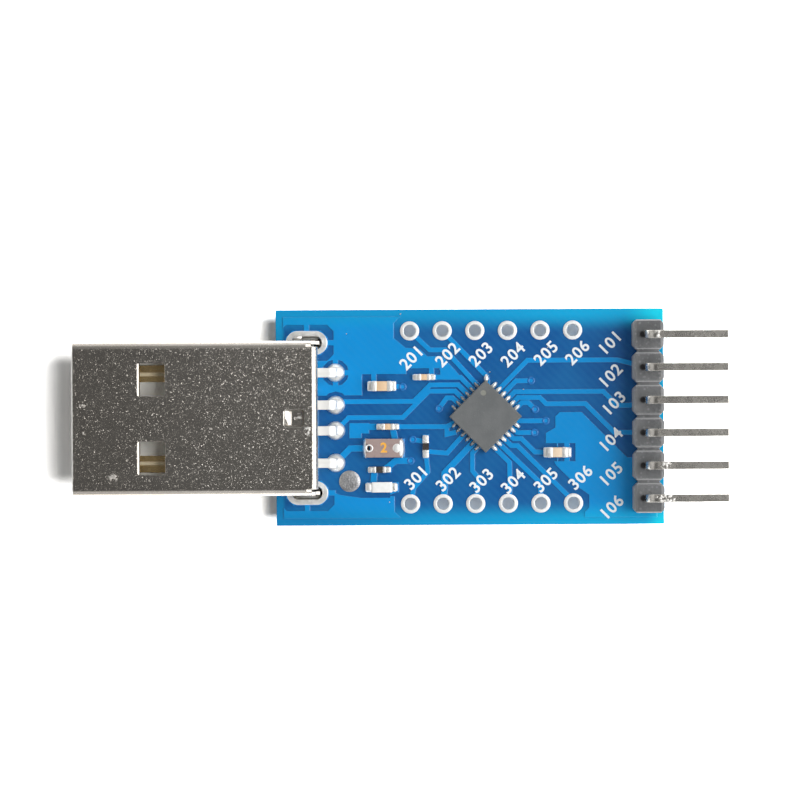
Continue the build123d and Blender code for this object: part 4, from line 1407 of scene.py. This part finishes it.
@dataclass
class SmallParts:
    """The capacitors, resistors, lamp and fuse along the board."""

    capped: tuple[EndCapped, ...] = (
        EndCapped("capacitor_1", 8.25, 2.45, 1.6, 0.8, 0.8, 0.4, 0.33, Middle.TAN),
        EndCapped("capacitor_2", 11.55, 3.13, 1.0, 0.5, 0.5, 0.28, 0.4, Middle.TAN),
        EndCapped("capacitor_3", 8.7, -0.72, 1.0, 0.5, 0.5, 0.28, 0.4, Middle.TAN),
        EndCapped("capacitor_4", 21.9, -2.78, 1.6, 0.8, 0.8, 0.45, 0.3, Middle.CREAM),
        EndCapped("resistor_1", 8.03, -4.06, 1.0, 0.5, 0.35, 0.25, 0.4, Middle.GLAZED),
        EndCapped("resistor_2", 11.65, -2.28, 1.0, 0.5, 0.35, 0.25, 0.4, Middle.GLAZED, 90),
    )
    lamp_y: float = -5.43
    lamp_ends: tuple[tuple[float, Size], ...] = (
        (7.22, (0.6, 0.74, 0.42)), (9.2, (0.5, 0.7, 0.5)),
    )
    fuse: Spot = (8.38, -2.38)
    fuse_half: float = 1.4
    fuse_top: float = SEAT + 0.7
    fuse_drops: tuple[tuple[float, Size], ...] = (
        (0.1, (0.14, 0.69, 0.09)), (0.36, (0.37, 0.36, 0.12)),
    )

    def build(self) -> None:
        """Build and dress all the small parts."""
        fillets = []
        for part in self.capped:
            part.build()
            fillets += part.fillets()
        for x, size in self.lamp_ends:
            spot = place(x, self.lamp_y, SEAT + size[2] / 2)
            fillets.append(Bench.block("fillet", spot, size, 0.0, 0.17, 4))
        Bench.refinish("led_body", LAMP_WHITE)
        Bench.refinish("led_terminals", TIN)
        Bench.softened("led_lens", "lamp_resin", LAMP_RESIN, 0.05, 3)
        Bench.softened("fuse_body", "fuse_block", FUSE_PLASTIC, 0.04)
        for side in (-1, 1):
            foot = place(self.fuse[0] + side * self.fuse_half, self.fuse[1])
            fillets.append(Bench.dome("fillet", foot, (0.24, 0.8, 0.55)))
        piece = Bench.join("part_fillets", fillets)
        Bench.smooth(piece, 60)
        Bench.dress(piece, SOLDER, "component_solder")
        self.fuse_ends()
        digit = place(*self.fuse, self.fuse_top)
        Bench.dress(Bench.text("fuse_digit", "2", digit, 1.05, 0.03, 0.01), AMBER_INK)

    def fuse_ends(self) -> None:
        """Plated ring at the fuse's left notch and the solder that fills its right one."""
        x, y = self.fuse
        top, low = self.fuse_top, SEAT + 0.15
        section = (
            (0.19, low), (0.19, top), (0.21, top + 0.035), (0.27, top + 0.045),
            (0.31, top + 0.01), (0.32, low),
        )
        ring = Bench.turned("fuse_ring", (x - self.fuse_half + 0.26, y), section, 32)
        drops = [
            Bench.dome("drop", place(x + self.fuse_half - shift, y, top - 0.03), radii, cut=False)
            for shift, radii in self.fuse_drops
        ]
        piece = Bench.join("fuse_ends", [ring, *drops])
        Bench.smooth(piece, 60)
        Bench.dress(piece, RING_TIN, "fuse_terminals")


@dataclass(frozen=True)
class Lamp:
    """A soft lamp that points at the adapter."""

    name: str
    rise: float
    bearing: float
    distance: float
    size: Spot
    power: float

    def hang(self) -> None:
        """Hang the lamp at its height and bearing."""
        lamp = bpy.data.lights.new(self.name, "AREA")
        lamp.shape = "RECTANGLE"
        lamp.size, lamp.size_y = self.size
        lamp.energy = self.power
        rise, bearing = math.radians(self.rise), math.radians(self.bearing)
        level = math.cos(rise)
        way = Vector((level * math.cos(bearing), level * math.sin(bearing), math.sin(rise)))
        holder = bpy.data.objects.new(self.name, lamp)
        holder.location = way * self.distance
        holder.rotation_euler = way.to_track_quat("Z", "Y").to_euler()
        bpy.context.scene.collection.objects.link(holder)


@dataclass
class Studio:
    """Pale paper, a wide soft lamp on the right and a dim tent with a darker top."""

    focus: Size = (-0.085, 1.36, 3.0)
    distance: float = 500.0
    lens: float = 288.7
    roll: float = -0.00563
    fill: float = 0.15
    dark_top: float = 0.12
    horizon: float = 0.08
    side_walls: float = 0.8
    back_fill: float = 0.28
    key: Lamp = Lamp("key", 42.0, 0.0, 0.5, (0.45, 0.68), 3.12)
    strip: Lamp = Lamp("strip", 35.0, 180.0, 0.6, (0.5, 0.45), 0.5)

    def build(self) -> None:
        """Set up the floor, the light and the camera."""
        self.floor()
        self.key.hang()
        self.strip.hang()
        self.tent()
        self.camera()
        bpy.context.scene.view_settings.view_transform = "Standard"

    def floor(self) -> None:
        """Lay the paper under the adapter."""
        Bench.clear()
        bpy.ops.mesh.primitive_plane_add(size=4.0, location=(0, 0, -0.00001))
        paper = bpy.context.object
        paper.name = "paper_floor"
        paper.data.materials.append(PAPER.material())

    def tent(self) -> None:
        """Light everything from a dim tent, darkest straight above."""
        world = bpy.data.worlds.new("tent")
        world.use_nodes = True
        world.node_tree.nodes.clear()
        graph = Graph(world.node_tree)
        _, across, up = graph.split(graph.add("TexCoord").outputs["Generated"])
        strength = graph.math(
            "ADD",
            graph.span(up, 0.75, 0.98, self.fill, self.dark_top),
            graph.span(up, 0.2, 0.5, self.horizon, 0.0),
            graph.span(across, 0.1, 0.5, 0.0, self.back_fill),
            graph.span(across, 0.8, 0.9, 0.0, self.side_walls),
            graph.span(across, -0.7, -0.58, self.side_walls, 0.0),
        )
        light, backdrop = (
            graph.add("Background", Color=(1.0, 1.0, 1.0), Strength=value).outputs[0]
            for value in (strength, 1.0)
        )
        seen = graph.add("LightPath").outputs["Is Camera Ray"]
        graph.add("OutputWorld", Surface=graph.combine(light, backdrop, seen))
        bpy.context.scene.world = world

    def camera(self) -> None:
        """Look straight down at the board."""
        data = bpy.data.cameras.new("camera")
        data.lens = self.lens
        data.clip_start, data.clip_end = 0.01, 10.0
        camera = bpy.data.objects.new("camera", data)
        x, y, z = self.focus
        camera.location = Vector((x, y, z + self.distance)) * MM
        camera.rotation_euler = (0, 0, self.roll)
        bpy.context.scene.collection.objects.link(camera)
        bpy.context.scene.camera = camera


def main() -> None:
    """Build every sub-assembly, then the studio."""
    logging.basicConfig(level=logging.INFO, format="%(name)s: %(message)s")
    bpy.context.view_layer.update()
    for assembly in (Board(), Plug(), Header(), Chip(), SmallParts(), SolderJoints(), Studio()):
        assembly.build()
        log.info("built %s", type(assembly).__name__)
    Bench.clear()


if __name__ == "__main__":
    main()
